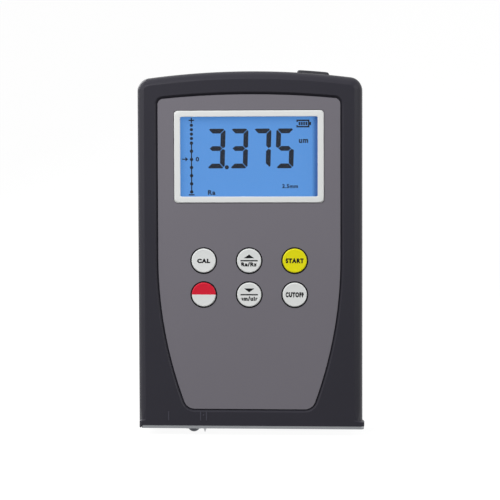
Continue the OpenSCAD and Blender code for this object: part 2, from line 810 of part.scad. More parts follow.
// Folded bracket: floor flange, back plate and two ears that carry the screw and the rod
module drive_bracket() {
    color([0.6, 0.61, 0.63]) difference() {
        union() {
            block([ear_left, flange_y0, floor_z], [ear_right + bracket_t, bracket_y + bracket_t, floor_z + bracket_t]);
            block([ear_left, bracket_y, floor_z], [ear_right + bracket_t, bracket_y + bracket_t, bracket_top]);
            for (x = [ear_left, ear_right])
                block([x, ear_y0, floor_z + ear_foot], [x + bracket_t, bracket_y + bracket_t, bracket_top]);
            for (x = [ear_left, ear_right])
                block([x, flange_y0, floor_z], [x + bracket_t, bracket_y + bracket_t, floor_z + ear_foot + past]);
        }
        rod(drive_y, screw_z, bush_d + 2 * run_fit, ear_left - past, ear_right + bracket_t + past);
        rod(drive_y, rod_z, shaft_d + 2 * run_fit, ear_left - past, ear_right + bracket_t + past);
        for (x = bracket_screw_xs) translate([x, bracket_screw_y, floor_z - past])
            cylinder(d = bracket_screw_d + 4 * run_fit, h = bracket_t + 2 * past);
    }
}

module bracket_screws() {
    color(steel) for (x = bracket_screw_xs) translate([x, bracket_screw_y, floor_z + bracket_t])
        flat_screw(bracket_screw_d, bracket_t + floor_t - run_fit, bracket_head_d, bracket_head_t);
}

// Gear head with an open output socket, and the motor behind it
module gear_motor() {
    end_x = motor_x0 + motor_l;
    color([0.72, 0.72, 0.74]) difference() {
        union() {
            rod(drive_y, screw_z, motor_d, motor_x0, motor_x0 + gearbox_l);
            rod(drive_y, screw_z, motor_d - motor_step, motor_x0 + gearbox_l - past, end_x - motor_boss_l);
            rod(drive_y, screw_z, motor_boss_d, end_x - motor_boss_l - past, end_x);
        }
        rod(drive_y, screw_z, shaft_d + 2 * run_fit, motor_x0 - past, motor_x0 + motor_socket);
    }
}

// Screw with plain journals; its thread is left plain here
module lead_screw() {
    grooves = [ear_left + bracket_t + bush_collar_t + groove_w, ear_right - bush_collar_t - 2 * groove_w];
    color(steel) difference() {
        rod(drive_y, screw_z, shaft_d, ear_left, motor_x0 + motor_socket - slide_fit);
        for (x = grooves) difference() {
            rod(drive_y, screw_z, shaft_d + past, x, x + groove_w);
            rod(drive_y, screw_z, shaft_d - 2 * groove_depth, x - past, x + groove_w + past);
        }
    }
}

module guide_rod() {
    color(steel) rod(drive_y, rod_z, shaft_d, ear_left - rod_overhang, ear_right + bracket_t + rod_overhang);
}

// Flanged bush in each ear, collar towards the carriage on the left and towards the motor on the right
module screw_bushes() {
    ends = [[ear_left, ear_left + bracket_t], [ear_right, ear_right + bracket_t]];
    color(brass) for (e = ends) difference() {
        union() {
            rod(drive_y, screw_z, bush_d, e[0], e[1] + bush_collar_t / 2);
            rod(drive_y, screw_z, bush_collar_d, e[1], e[1] + bush_collar_t);
        }
        rod(drive_y, screw_z, shaft_d + 2 * run_fit, e[0] - past, e[1] + bush_collar_t + past);
    }
}

// Carriage on the screw and the rod, with a lug for the pickup's pin
module carriage() {
    lug_y1 = carriage_y1 - carriage_relief;
    color([0.55, 0.56, 0.6]) difference() {
        union() {
            block([carriage_x0, carriage_y0, carriage_z0], [carriage_x1, carriage_y1, carriage_z1]);
            block([pivot_x - lug_r, carriage_y0, pivot_z], [pivot_x + lug_r, lug_y1, carriage_z0 + past]);
            peg(pivot_x, pivot_z, 2 * lug_r, -pickup_line + pickup_w / 2 + slide_fit, lug_y1);
        }
        block([carriage_x0 + carriage_relief, carriage_y0 - past, screw_z + carriage_relief],
            [carriage_x1 - carriage_relief, carriage_y0 + carriage_relief, rod_z - carriage_relief]);
        rod(drive_y, screw_z, shaft_d + 2 * run_fit, carriage_x0 - past, carriage_x1 + past);
        rod(drive_y, rod_z, shaft_d + 2 * run_fit, carriage_x0 - past, carriage_x1 + past);
        peg(pivot_x, pivot_z, pin_d + 2 * run_fit, -pickup_line, lug_y1 - pin_end);
    }
}

module pickup_pin() {
    y0 = -pickup_line - pickup_w / 2 - slide_fit;
    color(steel) {
        peg(pivot_x, pivot_z, pin_d, y0 - pin_head_t / 2, carriage_y1 - carriage_relief - pin_end - slide_fit);
        peg(pivot_x, pivot_z, pin_head_d, y0 - pin_head_t, y0);
    }
}

// Pickup: a bar from its pivot to the nose, with a slot for the stylus arm
module pickup_body() {
    y0 = -pickup_line - pickup_w / 2;
    y1 = -pickup_line + pickup_w / 2;
    color([0.5, 0.5, 0.52]) difference() {
        union() {
            block([nose_left, y0, bar_z0], [pivot_x, y1, bar_z1]);
            peg(pivot_x, pivot_z, bar_z1 - bar_z0, y0, y1);
            block([nose_left, y0 + nose_step, nose_z0], [nose_left + nose_w, y1 - nose_step, bar_z0 + past]);
        }
        peg(pivot_x, pivot_z, pin_d + 2 * run_fit, y0 - past, y1 + past);
        block([nose_left + nose_w, -pickup_line - arm_slot_w / 2, bar_z0 - past],
            [arm_tail + window_play, -pickup_line + arm_slot_w / 2, arm_slot_top]);
        peg(arm_pivot_x, arm_z, arm_pin_d, y0 - past, y1 + past);
        translate([nose_x, -pickup_line, nose_z0 - past])
            cylinder(d = skid_stem_d + 2 * run_fit, h = skid_stem_top + slide_fit - nose_z0 + past);
    }
}

// Hard dome under the nose, on a turned stem
module skid() {
    color([0.3, 0.3, 0.33]) translate([nose_x, -pickup_line, 0]) {
        intersection() {
            translate([0, 0, skid_r - skid_drop]) sphere(skid_r);
            translate([0, 0, -skid_drop]) cylinder(r = skid_r, h = nose_z0 + skid_drop);
        }
        translate([0, 0, nose_z0 - past]) cylinder(d = skid_stem_d, h = skid_stem_top - nose_z0 + past);
    }
}

module stylus_pin() {
    color(steel) peg(arm_pivot_x, arm_z, arm_pin_d - 2 * arm_pin_fit, -pickup_line - pickup_w / 2,
        -pickup_line + pickup_w / 2);
}

// Lever with the stylus at its left end: a shank and a cone down to the tip
module stylus_arm() {
    shank_z = stylus_cone_l - stylus_drop;
    color([0.7, 0.7, 0.72]) difference() {
        union() {
            block([-stylus_x, -pickup_line - arm_w / 2, arm_z - arm_t / 2],
                [arm_tail, -pickup_line + arm_w / 2, arm_z + arm_t / 2]);
            peg(arm_pivot_x, arm_z, arm_hub_d, -pickup_line - arm_w / 2, -pickup_line + arm_w / 2);
            translate([-stylus_x, -pickup_line, shank_z]) cylinder(d = stylus_d, h = arm_z + arm_t / 2 - shank_z);
            translate([-stylus_x, -pickup_line, -stylus_drop])
                cylinder(d1 = stylus_tip_d, d2 = stylus_d, h = stylus_cone_l);
        }
        peg(arm_pivot_x, arm_z, arm_pin_d + 2 * run_fit, -pickup_line - arm_w, -pickup_line + arm_w);
    }
}

// Cover plate that drops into its pocket, with a skirt along each side of the bay and grip ribs by the scoop
module battery_cover() {
    cover_w = bay_w + 2 * cover_ledge - 2 * pocket_fit;
    cover_l = bay_l + 2 * cover_ledge - 2 * pocket_fit;
    skirt_t = 1;
    skirt_l = 1.8;
    skirt_share = 0.6;
    rib_h = 0.5;
    rib_t = 0.7;
    rib_w = 14;
    rib_gap = 1;
    rib_pitch = 1.6;
    mid_z = (bay_z0 + bay_z1) / 2;
    color(black) {
        translate([0, 0, mid_z]) slab(y_cover, y_back) round_rect(cover_w, cover_l, cover_corner - pocket_fit);
        for (side = [-1, 1]) translate([side * (bay_w / 2 - pocket_fit - skirt_t / 2), 0, mid_z])
            slab(y_cover - skirt_l, y_cover) square([skirt_t, bay_l * skirt_share], center = true);
        for (k = [0 : 4]) translate([0, 0, bay_z0 + rib_gap + rib_pitch * k])
            slab(y_back, y_back + rib_h) square([rib_w - rib_pitch * k, rib_t], center = true);
    }
}

// Places its children at one end of the bay, at the other end for every second cell
module in_bay(k) {
    translate([cell_xs[k], cell_y, (bay_z0 + bay_z1) / 2]) mirror([0, 0, k % 2]) translate([0, 0, -bay_l / 2]) children();
}

// A cell: its can with softened rims and the nub at one end
module battery_cell(k) {
    can_l = cell_l - nub_l;
    rim = 0.4;
    color([0.25, 0.4, 0.5]) in_bay(k) translate([0, 0, plate_t + spring_l + slide_fit])
        rotate_extrude() polygon([[0, 0], [cell_d / 2 - rim, 0], [cell_d / 2, rim], [cell_d / 2, can_l - rim],
            [cell_d / 2 - rim, can_l], [nub_d / 2, can_l], [nub_d / 2, cell_l], [0, cell_l]]);
}

module battery_cell_1() { battery_cell(0); }

module battery_cell_2() { battery_cell(1); }

module battery_cell_3() { battery_cell(2); }

module battery_cell_4() { battery_cell(3); }

// Contact plate at each end of every cell
module contact_plates() {
    plate_edge = 0.7;
    plate_w = cell_d - 2 * plate_edge;
    color(steel) for (x = cell_xs, z = [bay_z0, bay_z1 - plate_t])
        block([x - plate_w / 2, cell_y - plate_w / 2, z], [x + plate_w / 2, cell_y + plate_w / 2, z + plate_t]);
}

// One coned spring at the flat end of each cell, on its contact plate
module contact_springs() {
    color(steel) for (k = [0 : cell_count - 1]) in_bay(k) translate([0, 0, plate_t]) coned_spring();
}

module coned_spring() {
    sides = 6;
    steps = 14 * spring_turns;
    rise = spring_l - spring_wire;
    points = [for (k = [0 : steps], s = [0 : sides - 1])
        let (u = k / steps, a = 360 * spring_turns * u, b = 360 * s / sides)
        let (r = spring_r0 + (spring_r1 - spring_r0) * u + spring_wire / 2 * cos(b))
        [r * cos(a), r * sin(a), spring_wire / 2 + rise * u + spring_wire / 2 * sin(b)]];
    skin = [for (k = [0 : steps - 1], s = [0 : sides - 1])
        let (a = k * sides + s, b = k * sides + (s + 1) % sides)
        each [[a, a + sides, b + sides], [a, b + sides, b]]];
    polyhedron(points, concat([[for (s = [0 : sides - 1]) s]], skin,
        [[for (s = [sides - 1 : -1 : 0]) steps * sides + s]]));
}

// Rubber pad that follows the arched top, on a stem that plugs the slot
module port_cover() {
    lift = 0.1;
    color([0.09, 0.09, 0.1]) {
        difference() {
            intersection() {
                translate([port_x, port_y, 0]) linear_extrude(body_h + 2 * port_rise) round_rect(port_w, port_d, port_corner);
                peg(0, crown_z, 2 * (crown_r + port_rise), port_y - port_d, port_y + port_d, $fn = 720);
            }
            peg(0, crown_z, 2 * (crown_r + lift), port_y - port_d, port_y + port_d, $fn = 720);
        }
        intersection() {
            translate([port_x, port_y, port_inner_z - slide_fit]) linear_extrude(body_h)
                square([port_stem_w, port_stem_d], center = true);
            peg(0, crown_z, 2 * (crown_r + lift), port_y - port_d, port_y + port_d, $fn = 720);
        }
    }
}

// Metal socket on the back of the board, open at the top
module data_socket() {
    top = port_inner_z - 2 * slide_fit;
    color(steel) difference() {
        block([port_x - socket_w / 2, board_y1, top - socket_l], [port_x + socket_w / 2, board_y1 + socket_d, top]);
        block([port_x - socket_w / 2 + socket_wall, port_y - socket_slot / 2, top - socket_l + socket_floor],
            [port_x + socket_w / 2 - socket_wall, port_y + socket_slot / 2, top + past]);
    }
}

// Jack with a collar through the left wall and a round bore
module charge_jack() {
    body_x = -body_w / 2 + wall + slide_fit;
    color([0.12, 0.12, 0.13]) difference() {
        union() {
            block([body_x, board_y1, jack_z - jack_body_w / 2],
                [body_x + jack_body_l, board_y1 + jack_body_w, jack_z + jack_body_w / 2]);
            rod(jack_y, jack_z, jack_d, jack_x, body_x + past);
        }
        rod(jack_y, jack_z, jack_bore, jack_x - past, jack_x + jack_bore_l);
    }
}

front_housing();
rear_housing();
front_panel();
display_bezel();
display_window();
lcd_cell();
backlight();
main_board();
board_chips();
tact_switches();
board_screws();
key_cal();
key_up();
key_start();
key_power();
key_down();
key_cutoff();
housing_screws();
base_plate();
base_screws();
drive_bracket();
bracket_screws();
gear_motor();
lead_screw();
guide_rod();
screw_bushes();
carriage();
pickup_pin();
pickup_body();
skid();
stylus_pin();
stylus_arm();
battery_cover();
battery_cell_1();
battery_cell_2();
battery_cell_3();
battery_cell_4();
contact_plates();
contact_springs();
port_cover();
data_socket();
charge_jack();
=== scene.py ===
"""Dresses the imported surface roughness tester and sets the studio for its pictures.

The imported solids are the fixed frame, in metres, with Z up and the front towards -Y. Each class below is one
sub-assembly: it holds its sizes, builds its meshes round the frame and hands the finished pieces over.
"""

import logging
import math
from dataclasses import dataclass, field, replace
from enum import Enum
from typing import Any, Callable, Iterable, Sequence

import bmesh
import bpy
from mathutils import Matrix, Vector


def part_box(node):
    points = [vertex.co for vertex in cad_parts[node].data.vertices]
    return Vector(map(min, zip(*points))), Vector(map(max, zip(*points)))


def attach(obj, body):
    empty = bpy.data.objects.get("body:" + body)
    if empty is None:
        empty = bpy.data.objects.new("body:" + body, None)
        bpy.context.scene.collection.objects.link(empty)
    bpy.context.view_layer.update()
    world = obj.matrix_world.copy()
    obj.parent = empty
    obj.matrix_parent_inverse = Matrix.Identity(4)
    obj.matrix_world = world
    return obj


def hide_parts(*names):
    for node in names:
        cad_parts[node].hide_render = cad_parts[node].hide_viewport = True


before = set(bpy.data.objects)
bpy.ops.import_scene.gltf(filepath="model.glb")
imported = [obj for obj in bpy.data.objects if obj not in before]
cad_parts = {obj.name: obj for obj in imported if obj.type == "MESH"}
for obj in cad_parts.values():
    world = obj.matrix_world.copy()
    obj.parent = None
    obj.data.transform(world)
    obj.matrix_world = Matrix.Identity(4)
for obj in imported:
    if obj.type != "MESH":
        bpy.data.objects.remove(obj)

LOG = logging.getLogger("roughness_tester")
MM = 0.001
MERGE = 0.002 * MM
PRINT_T = 0.02 * MM
FLAT_DEG = 0.4
FACING = 0.9
QUARTER = math.pi / 2
WHITE = "#ffffff"

Point = tuple[float, float]
Colour = tuple[float, float, float, float]
Links = dict[str | int, Any]
Tree, Node, Socket = bpy.types.NodeTree, bpy.types.Node, bpy.types.NodeSocket
Piece, Mesh, Material = bpy.types.Object, bpy.types.Mesh, bpy.types.Material
Draft, Edge = bmesh.types.BMesh, bmesh.types.BMEdge


class Body(str, Enum):
    """Bodies of the frame that carry new pieces."""

    HOUSING = "housing"
    SCREW = "lead_screw"
    COVER = "battery_cover"
    PORT = "port_cover"


class Slot(str, Enum):
    """Material slots of the record."""

    BLACK = "black_moulding"
    PANEL = "grey_panel"
    WHITE = "white_moulding"
    WINDOW = "clear_window"
    CELL = "blue_cell"
    DARK = "dark_parts"
    YELLOW = "yellow_key"
    RED = "red_key"
    STEEL = "steel"
    ALUMINIUM = "aluminium"
    RUBBER = "rubber"


def linear(code: str) -> Colour:
    """Turns an sRGB hex colour into linear RGBA.

    Args:
        code: Six hex digits after a hash sign.

    Returns:
        The linear colour with full alpha.
    """
    parts = [int(code[k:k + 2], 16) / 255 for k in (1, 3, 5)]
    red, green, blue = (v / 12.92 if v <= 0.04045 else ((v + 0.055) / 1.055) ** 2.4 for v in parts)
    return (red, green, blue, 1.0)


def shade(code: str, factor: float) -> Colour:
    """Returns a hex colour in linear RGBA, made lighter or darker by a factor."""
    red, green, blue, alpha = linear(code)
    return (min(red * factor, 1.0), min(green * factor, 1.0), min(blue * factor, 1.0), alpha)


def add_node(tree: Tree, kind: str, inputs: Links | None = None, **settings: Any) -> Node:
    """Adds a node with its settings, and links or sets its inputs.

    Args:
        tree: The tree that gets the node.
        kind: The node's type name.
        inputs: For each input's name or place, a socket to link or a value to set.
        **settings: Properties of the node.

    Returns:
        The new node.
    """
    node = tree.nodes.new(kind)
    for key, value in settings.items():
        setattr(node, key, value)
    for key, value in (inputs or {}).items():
        if isinstance(value, Socket):
            tree.links.new(value, node.inputs[key])
        else:
            node.inputs[key].default_value = value
    return node


@dataclass(frozen=True)
class Finish:
    """A surface finish: its colour, its gloss and the way its surface was made.

    Attributes:
        name: Name of the material, for what the real one is.
        colour: Colour in sRGB hex.
        roughness: Mean roughness.
        metallic: 1 for a bare metal.
        specular: Specular level of a surface that isn't metal.
        grain_mm: Size of the fine grain.
        grain_bump: Strength of the fine grain's relief.
        stretch: How much longer the grain is along X, Y and Z.
        blotch_mm: Size of the slow change in colour.
        contrast: Share by which the colour changes.
        spread: Share by which the roughness changes.
        second: Second colour in sRGB hex, where a finish has one.
    """

    name: str
    colour: str
    roughness: float = 0.5
    metallic: float = 0.0
    specular: float = 0.5
    grain_mm: float = 0.4
    grain_bump: float = 0.1
    stretch: tuple[float, float, float] = (1.0, 1.0, 1.0)
    blotch_mm: float = 15.0
    contrast: float = 0.05
    spread: float = 0.12
    second: str = WHITE

    def material(self) -> Material:
        """Returns this finish's material, which is made on first use."""
        return bpy.data.materials.get(self.name) or self.make()

    def make(self) -> Material:
        """Builds the material's node tree.

        Returns:
            The new material.
        """
        material = bpy.data.materials.new(self.name)
        material.use_nodes = True
        tree = material.node_tree
        shader = tree.nodes["Principled BSDF"]
        shader.inputs["Metallic"].default_value = self.metallic
        shader.inputs["Specular IOR Level"].default_value = self.specular
        place = add_node(tree, "ShaderNodeTexCoord").outputs["Object"]
        grain_place = add_node(tree, "ShaderNodeMapping", {
            "Vector": place, "Scale": tuple(1 / (self.grain_mm * MM * s) for s in self.stretch)})
        grain = add_node(tree, "ShaderNodeTexNoise", {
            "Vector": grain_place.outputs[0], "Scale": 1.0, "Detail": 2.0, "Roughness": 0.6}).outputs[0]
        gloss = add_node(tree, "ShaderNodeMapRange", {
            "Value": grain, "From Min": 0.3, "From Max": 0.7,
            "To Min": self.roughness * (1 - self.spread), "To Max": self.roughness * (1 + self.spread)})
        bump = add_node(tree, "ShaderNodeBump", {
            "Height": grain, "Strength": self.grain_bump, "Distance": 0.05 * MM})
        tree.links.new(gloss.outputs[0], shader.inputs["Roughness"])
        tree.links.new(bump.outputs[0], shader.inputs["Normal"])
        tree.links.new(self.tint(tree, place), shader.inputs["Base Color"])
        self.extras(tree, shader, place)
        return material

    def tint(self, tree: Tree, place: Socket) -> Socket:
        """Adds the slow change in colour, and the second colour where it shows.

        Args:
            tree: The material's tree.
            place: The object coordinates.

        Returns:
            The colour socket.
        """
        blotch = add_node(tree, "ShaderNodeTexNoise", {
            "Vector": place, "Scale": 1 / (self.blotch_mm * MM), "Detail": 2.0}).outputs[0]
        base = add_node(tree, "ShaderNodeMix", {
            0: blotch, 6: shade(self.colour, 1 - self.contrast), 7: shade(self.colour, 1 + self.contrast)},
            data_type="RGBA").outputs[2]
        share = self.share(tree, place)
        if share is None:
            return base
        return add_node(tree, "ShaderNodeMix", {0: share, 6: base, 7: self.other()}, data_type="RGBA").outputs[2]

    def share(self, tree: Tree, place: Socket) -> Socket | None:
        """Returns a socket that is 1 where the second colour shows; the plain finish has none."""
        return None

    def other(self) -> Colour:
        """Returns the second colour in linear RGBA."""
        return linear(self.second)

    def extras(self, tree: Tree, shader: Node, place: Socket) -> None:
        """Adds what only some finishes have; the plain finish has nothing more."""


@dataclass(frozen=True)
class WornFinish(Finish):
    """A moulded finish with a painted highlight: a lighter colour along its edges, inner ones too.

    Attributes:
        wear: Share by which the painted highlight makes an edge lighter.
        wear_mm: Width of the painted highlight's band beside an edge.
        wear_cos: Cosines between the face and its rounded surroundings at which the painted highlight starts and is
            full.
    """

    wear: float = 0.5
    wear_mm: float = 0.35
    wear_cos: Point = (0.998, 0.93)

    def share(self, tree: Tree, place: Socket) -> Socket:
        """Finds the edges that get the painted highlight, where the rounded surroundings turn away from the face.

        Args:
            tree: The material's tree.
            place: The object coordinates.

        Returns:
            The share of painted highlight.
        """
        face = add_node(tree, "ShaderNodeNewGeometry").outputs["Normal"]
        mean = add_node(tree, "ShaderNodeBevel", {"Radius": self.wear_mm * MM}).outputs[0]
        same = add_node(tree, "ShaderNodeVectorMath", {0: face, 1: mean}, operation="DOT_PRODUCT").outputs["Value"]
        start, full = self.wear_cos
        return add_node(tree, "ShaderNodeMapRange", {"Value": same, "From Min": start, "From Max": full}).outputs[0]

    def other(self) -> Colour:
        """Returns the colour of the painted highlight on an edge."""
        return shade(self.colour, 1 + self.wear)


@dataclass(frozen=True)
class LitFinish(Finish):
    """A finish that is lit from behind.

    Attributes:
        glow: Strength of the light that comes through.
    """

    glow: float = 0.3

    def extras(self, tree: Tree, shader: Node, place: Socket) -> None:
        """Lets the tinted colour shine through.

        Args:
            tree: The material's tree.
            shader: The surface shader.
            place: The object coordinates.
        """
        tint = shader.inputs["Base Color"].links[0].from_socket
        tree.links.new(tint, shader.inputs["Emission Color"])
        shader.inputs["Emission Strength"].default_value = self.glow


@dataclass(frozen=True)
class FadeFinish(LitFinish):
    """A lit finish with a painted shade: it turns to its second, darker colour towards one end.

    Attributes:
        fade_m: Where the painted shade starts and ends along X, in metres.
    """

    fade_m: Point = (0.0, 0.001)

    def share(self, tree: Tree, place: Socket) -> Socket:
        """Grows along X from the start of the painted shade to its end.

        Args:
            tree: The material's tree.
            place: The object coordinates.

        Returns:
            The share of the second colour.
        """
        along = add_node(tree, "ShaderNodeSeparateXYZ", {"Vector": place}).outputs["X"]
        start, end = self.fade_m
        return add_node(tree, "ShaderNodeMapRange", {"Value": along, "From Min": start, "From Max": end}).outputs[0]


@dataclass(frozen=True)
class ClearFinish(Finish):
    """A clear sheet, of which mainly the reflections show.

    Attributes:
        veil: Share of the light that stays on the sheet.
    """

    veil: float = 0.03

    def extras(self, tree: Tree, shader: Node, place: Socket) -> None:
        """Lets the view through."""
        shader.inputs["Alpha"].default_value = self.veil


@dataclass(frozen=True)
class BandFinish(Finish):
    """A printed sleeve with its second colour above a given height of the object.

    Attributes:
        edge_m: Height at which the second colour starts, in metres.
    """

    edge_m: float = 0.1

    def share(self, tree: Tree, place: Socket) -> Socket:
        """Returns 1 above the edge of the band and 0 below it."""
        height = add_node(tree, "ShaderNodeSeparateXYZ", {"Vector": place}).outputs["Z"]
        return add_node(tree, "ShaderNodeMath", {0: height, 1: self.edge_m}, operation="GREATER_THAN").outputs[0]


@dataclass(frozen=True)
class TrackFinish(Finish):
    """A circuit board: copper tracks that show as lighter lines under the mask.

    Attributes:
        track_mm: Distance between two tracks.
        track_w: Width of a track as a share of that distance.
        track_l: Length of a track in such distances.
        gain: How much lighter a track is.
    """

    track_mm: float = 1.6
    track_w: float = 0.12
    track_l: float = 4.0
    gain: float = 1.7

    def share(self, tree: Tree, place: Socket) -> Socket:
        """Draws the tracks as the joints of a brick pattern on the face of the board.

        Args:
            tree: The material's tree.
            place: The object coordinates.

        Returns:
            A socket that is 1 on a track.
        """
        turned = add_node(tree, "ShaderNodeMapping", {
            "Vector": place, "Rotation": (QUARTER, 0, 0), "Scale": (1 / (self.track_mm * MM),) * 3})
        return add_node(tree, "ShaderNodeTexBrick", {
            "Vector": turned.outputs[0], "Scale": 1.0, "Mortar Size": self.track_w, "Brick Width": self.track_l,
            "Row Height": 1.0}).outputs["Fac"]

    def other(self) -> Colour:
        """Returns the colour of the mask over a track."""
        return shade(self.colour, self.gain)


# Moulded ABS with a fine spark-eroded grain of about 0.1 mm, drawn at 0.35 mm so that it shows: satin black, no
# sparkle, with a painted highlight along its edges
BLACK_ABS = WornFinish("abs_black_moulded", "#2c2b32", roughness=0.42, specular=0.11, grain_mm=0.35, grain_bump=0.12,
                       contrast=0.05, wear=0.35)
# The same ABS in a lighter grey on the tops of the raised marks: a painted highlight that makes them show
MARK_HIGHLIGHT_ABS = Finish("abs_black_mark_highlight", "#3d3c46", roughness=0.42, specular=0.2, grain_mm=0.35, grain_bump=0.05,
                    contrast=0.08, blotch_mm=2)
# Printed polycarbonate film with a velvet face: even grey, no mirror, a faint grain drawn at 0.3 mm
GREY_FILM = Finish("polycarbonate_film_grey", "#6c6970", roughness=0.62, specular=0.2, grain_mm=0.3, grain_bump=0.08,
                   contrast=0.025, blotch_mm=30)
# Moulded ABS, satin white: soft highlights on rounded rims
WHITE_ABS = WornFinish("abs_white_moulded", "#d6d8d7", roughness=0.42, specular=0.3, grain_mm=0.4, grain_bump=0.05,
                       contrast=0.02, wear=0.05)
# The same ABS, dyed through: a clear lemon yellow
YELLOW_ABS = replace(WHITE_ABS, name="abs_yellow_moulded", colour="#dad403", specular=0.25, contrast=0.03)
# And dyed a full signal red, paler along its rim: a painted highlight
RED_ABS = replace(YELLOW_ABS, name="abs_red_moulded", colour="#c9162f", wear=0.1)
# Cast acrylic sheet: clear, with the room in its face
CLEAR_ACRYLIC = ClearFinish("acrylic_clear", "#dfe8f2", roughness=0.08, grain_mm=6, grain_bump=0.0,
                            contrast=0.01, veil=0.015)
# Liquid crystal glass lit from behind: a deep blue that glows as sky blue, with a painted shade that darkens it towards
# its right edge
LIT_CELL = FadeFinish("display_glass_blue", "#26486f", roughness=0.4, specular=0.2, grain_mm=0.5, grain_bump=0.02,
                      contrast=0.03, blotch_mm=25, second="#0f2b50", glow=3.3,
                      fade_m=(22.2 * MM, 23.7 * MM))
# Dark segments of the cell: deep blue, seen through the polariser
SEGMENT_INK = Finish("display_segment_dark", "#0a1322", roughness=0.5, specular=0.05, grain_mm=0.5, grain_bump=0.02)
# Screen ink on the keys: matt black film with slightly uneven cover
LEGEND_INK = Finish("screen_ink_black", "#0f1013", roughness=0.6, specular=0.1, grain_mm=0.2, grain_bump=0.05,
                    contrast=0.12, blotch_mm=1.5)
# Ground aluminium strip: grey metal with a grain of 0.15 mm along X, long in the direction of grinding
GROUND_ALUMINIUM = Finish("aluminium_ground", "#85878a", roughness=0.36, metallic=1.0, grain_mm=0.15, grain_bump=0.12,
                          stretch=(30.0, 1.0, 1.0), contrast=0.06, blotch_mm=8, spread=0.25)
# Milled aluminium of the drive: duller, with a short cutter grain
MILLED_ALUMINIUM = Finish("aluminium_milled", "#989a9e", roughness=0.42, metallic=1.0, grain_mm=0.25, grain_bump=0.1,
                          stretch=(4.0, 1.0, 1.0), contrast=0.06, blotch_mm=6, spread=0.25)
# Turned steel: bright, fine rings left by the tool
TURNED_STEEL = Finish("steel_turned", "#b9babd", roughness=0.26, metallic=1.0, grain_mm=0.2, grain_bump=0.06,
                      contrast=0.06, blotch_mm=3, spread=0.25)
# Hardened steel of the skid: dark and polished
HARD_STEEL = Finish("steel_hardened_dark", "#4b4d52", roughness=0.22, metallic=1.0, grain_mm=0.3, grain_bump=0.03,
                    contrast=0.08, blotch_mm=2)
# Turned brass bush: warm metal, fine grain
TURNED_BRASS = Finish("brass_turned", "#c8a45a", roughness=0.3, metallic=1.0, grain_mm=0.2, grain_bump=0.05,
                      contrast=0.06, blotch_mm=3)
# Solder mask over copper: glossy green with lighter tracks
SOLDER_MASK = TrackFinish("solder_mask_green", "#14522f", roughness=0.32, grain_mm=0.5, grain_bump=0.03, contrast=0.1)
# Moulded epoxy packages and switch bodies: matt, nearly black
EPOXY = Finish("epoxy_moulded_dark", "#242529", roughness=0.55, grain_mm=0.2, grain_bump=0.1, contrast=0.08,
               blotch_mm=4)
# Frosted acrylic light guide: milky white
FROSTED_GUIDE = LitFinish("acrylic_frosted", "#e4ebf3", roughness=0.5, grain_mm=0.4, grain_bump=0.08, contrast=0.03,
                          glow=0.15)
# Moulded rubber: matt black with a dry bloom
BLACK_RUBBER = Finish("rubber_moulded_black", "#26262b", roughness=0.66, specular=0.3, grain_mm=0.3, grain_bump=0.1,
                      contrast=0.1, blotch_mm=4)
# Dull black rubber, no highlight: the seal on the rim of the display cell, and the rings round the keys that are
# painted shade of their gaps
SEAL_AND_GAP_SHADE_RUBBER = Finish("rubber_seal_and_gap_shade_black", "#101013", roughness=0.8, specular=0.1, grain_mm=0.2, grain_bump=0.05,
                     contrast=0.08, blotch_mm=3)
# Heat-shrunk film on the cells: glossy blue with a silver band
CELL_WRAP = BandFinish("shrink_film_blue", "#2e5f8a", roughness=0.25, grain_mm=0.6, grain_bump=0.03, contrast=0.05,
                       second="#b9bcc0")


def new_object(name: str, data: bpy.types.ID) -> Piece:
    """Links new data to the scene as an object at the origin.

    Args:
        name: Name of the object.
        data: Its mesh, or other data.

    Returns:
        The new object.
    """
    piece = bpy.data.objects.new(name, data)
    bpy.context.scene.collection.objects.link(piece)
    return piece


def evaluated_mesh(piece: Piece) -> Mesh:
    """Returns a plain mesh of an object with its modifiers carried out."""
    bpy.context.view_layer.update()
    return bpy.data.meshes.new_from_object(piece.evaluated_get(bpy.context.evaluated_depsgraph_get()))


def corners(points: Iterable[Vector]) -> tuple[Vector, Vector]:
    """Returns the low and the high corner of the box round some points."""
    rows = list(zip(*points))
    return Vector([min(row) for row in rows]), Vector([max(row) for row in rows])


def draft_of(mesh: Mesh) -> Draft:
    """Copies a mesh into a mesh under work.

    Args:
        mesh: The mesh to copy.

    Returns:
        The copy.
    """
    bm = bmesh.new()
    bm.from_mesh(mesh)
    return bm


def piece_from(bm: Draft, name: str, finishes: Sequence[Finish], smooth_deg: float = 30) -> Piece:
    """Closes a mesh, turns its faces outwards and makes it an object with its finishes and its shading.

    Args:
        bm: The mesh under work, which is freed.
        name: Name of the piece.
        finishes: Finishes in the order of the faces' material indices.
        smooth_deg: Edges sharper than this stay sharp.

    Returns:
        The new object.
    """
    bmesh.ops.remove_doubles(bm, verts=bm.verts[:], dist=MERGE)
    bmesh.ops.recalc_face_normals(bm, faces=bm.faces[:])
    mesh = bpy.data.meshes.new(name)
    bm.to_mesh(mesh)
    bm.free()
    for finish in finishes:
        if finish.name not in mesh.materials:
            mesh.materials.append(finish.material())
    mesh.polygons.foreach_set("use_smooth", [True] * len(mesh.polygons))
    mesh.set_sharp_from_angle(angle=math.radians(smooth_deg))
    mesh.update()
    piece = new_object(name, mesh)
    piece.modifiers.new("even_shading", "WEIGHTED_NORMAL").keep_sharp = True
    return piece


def merged_copy(node: str) -> Draft:
    """Copies a frame node's mesh, with its loose triangles joined and its flat faces in one piece.

    Args:
        node: The frame node.

    Returns:
        The copy as a mesh under work.
    """
    bm = draft_of(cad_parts[node].data)
    bmesh.ops.remove_doubles(bm, verts=bm.verts[:], dist=MERGE)
    bmesh.ops.dissolve_limit(bm, angle_limit=math.radians(FLAT_DEG), verts=bm.verts[:], edges=bm.edges[:])
    return bm


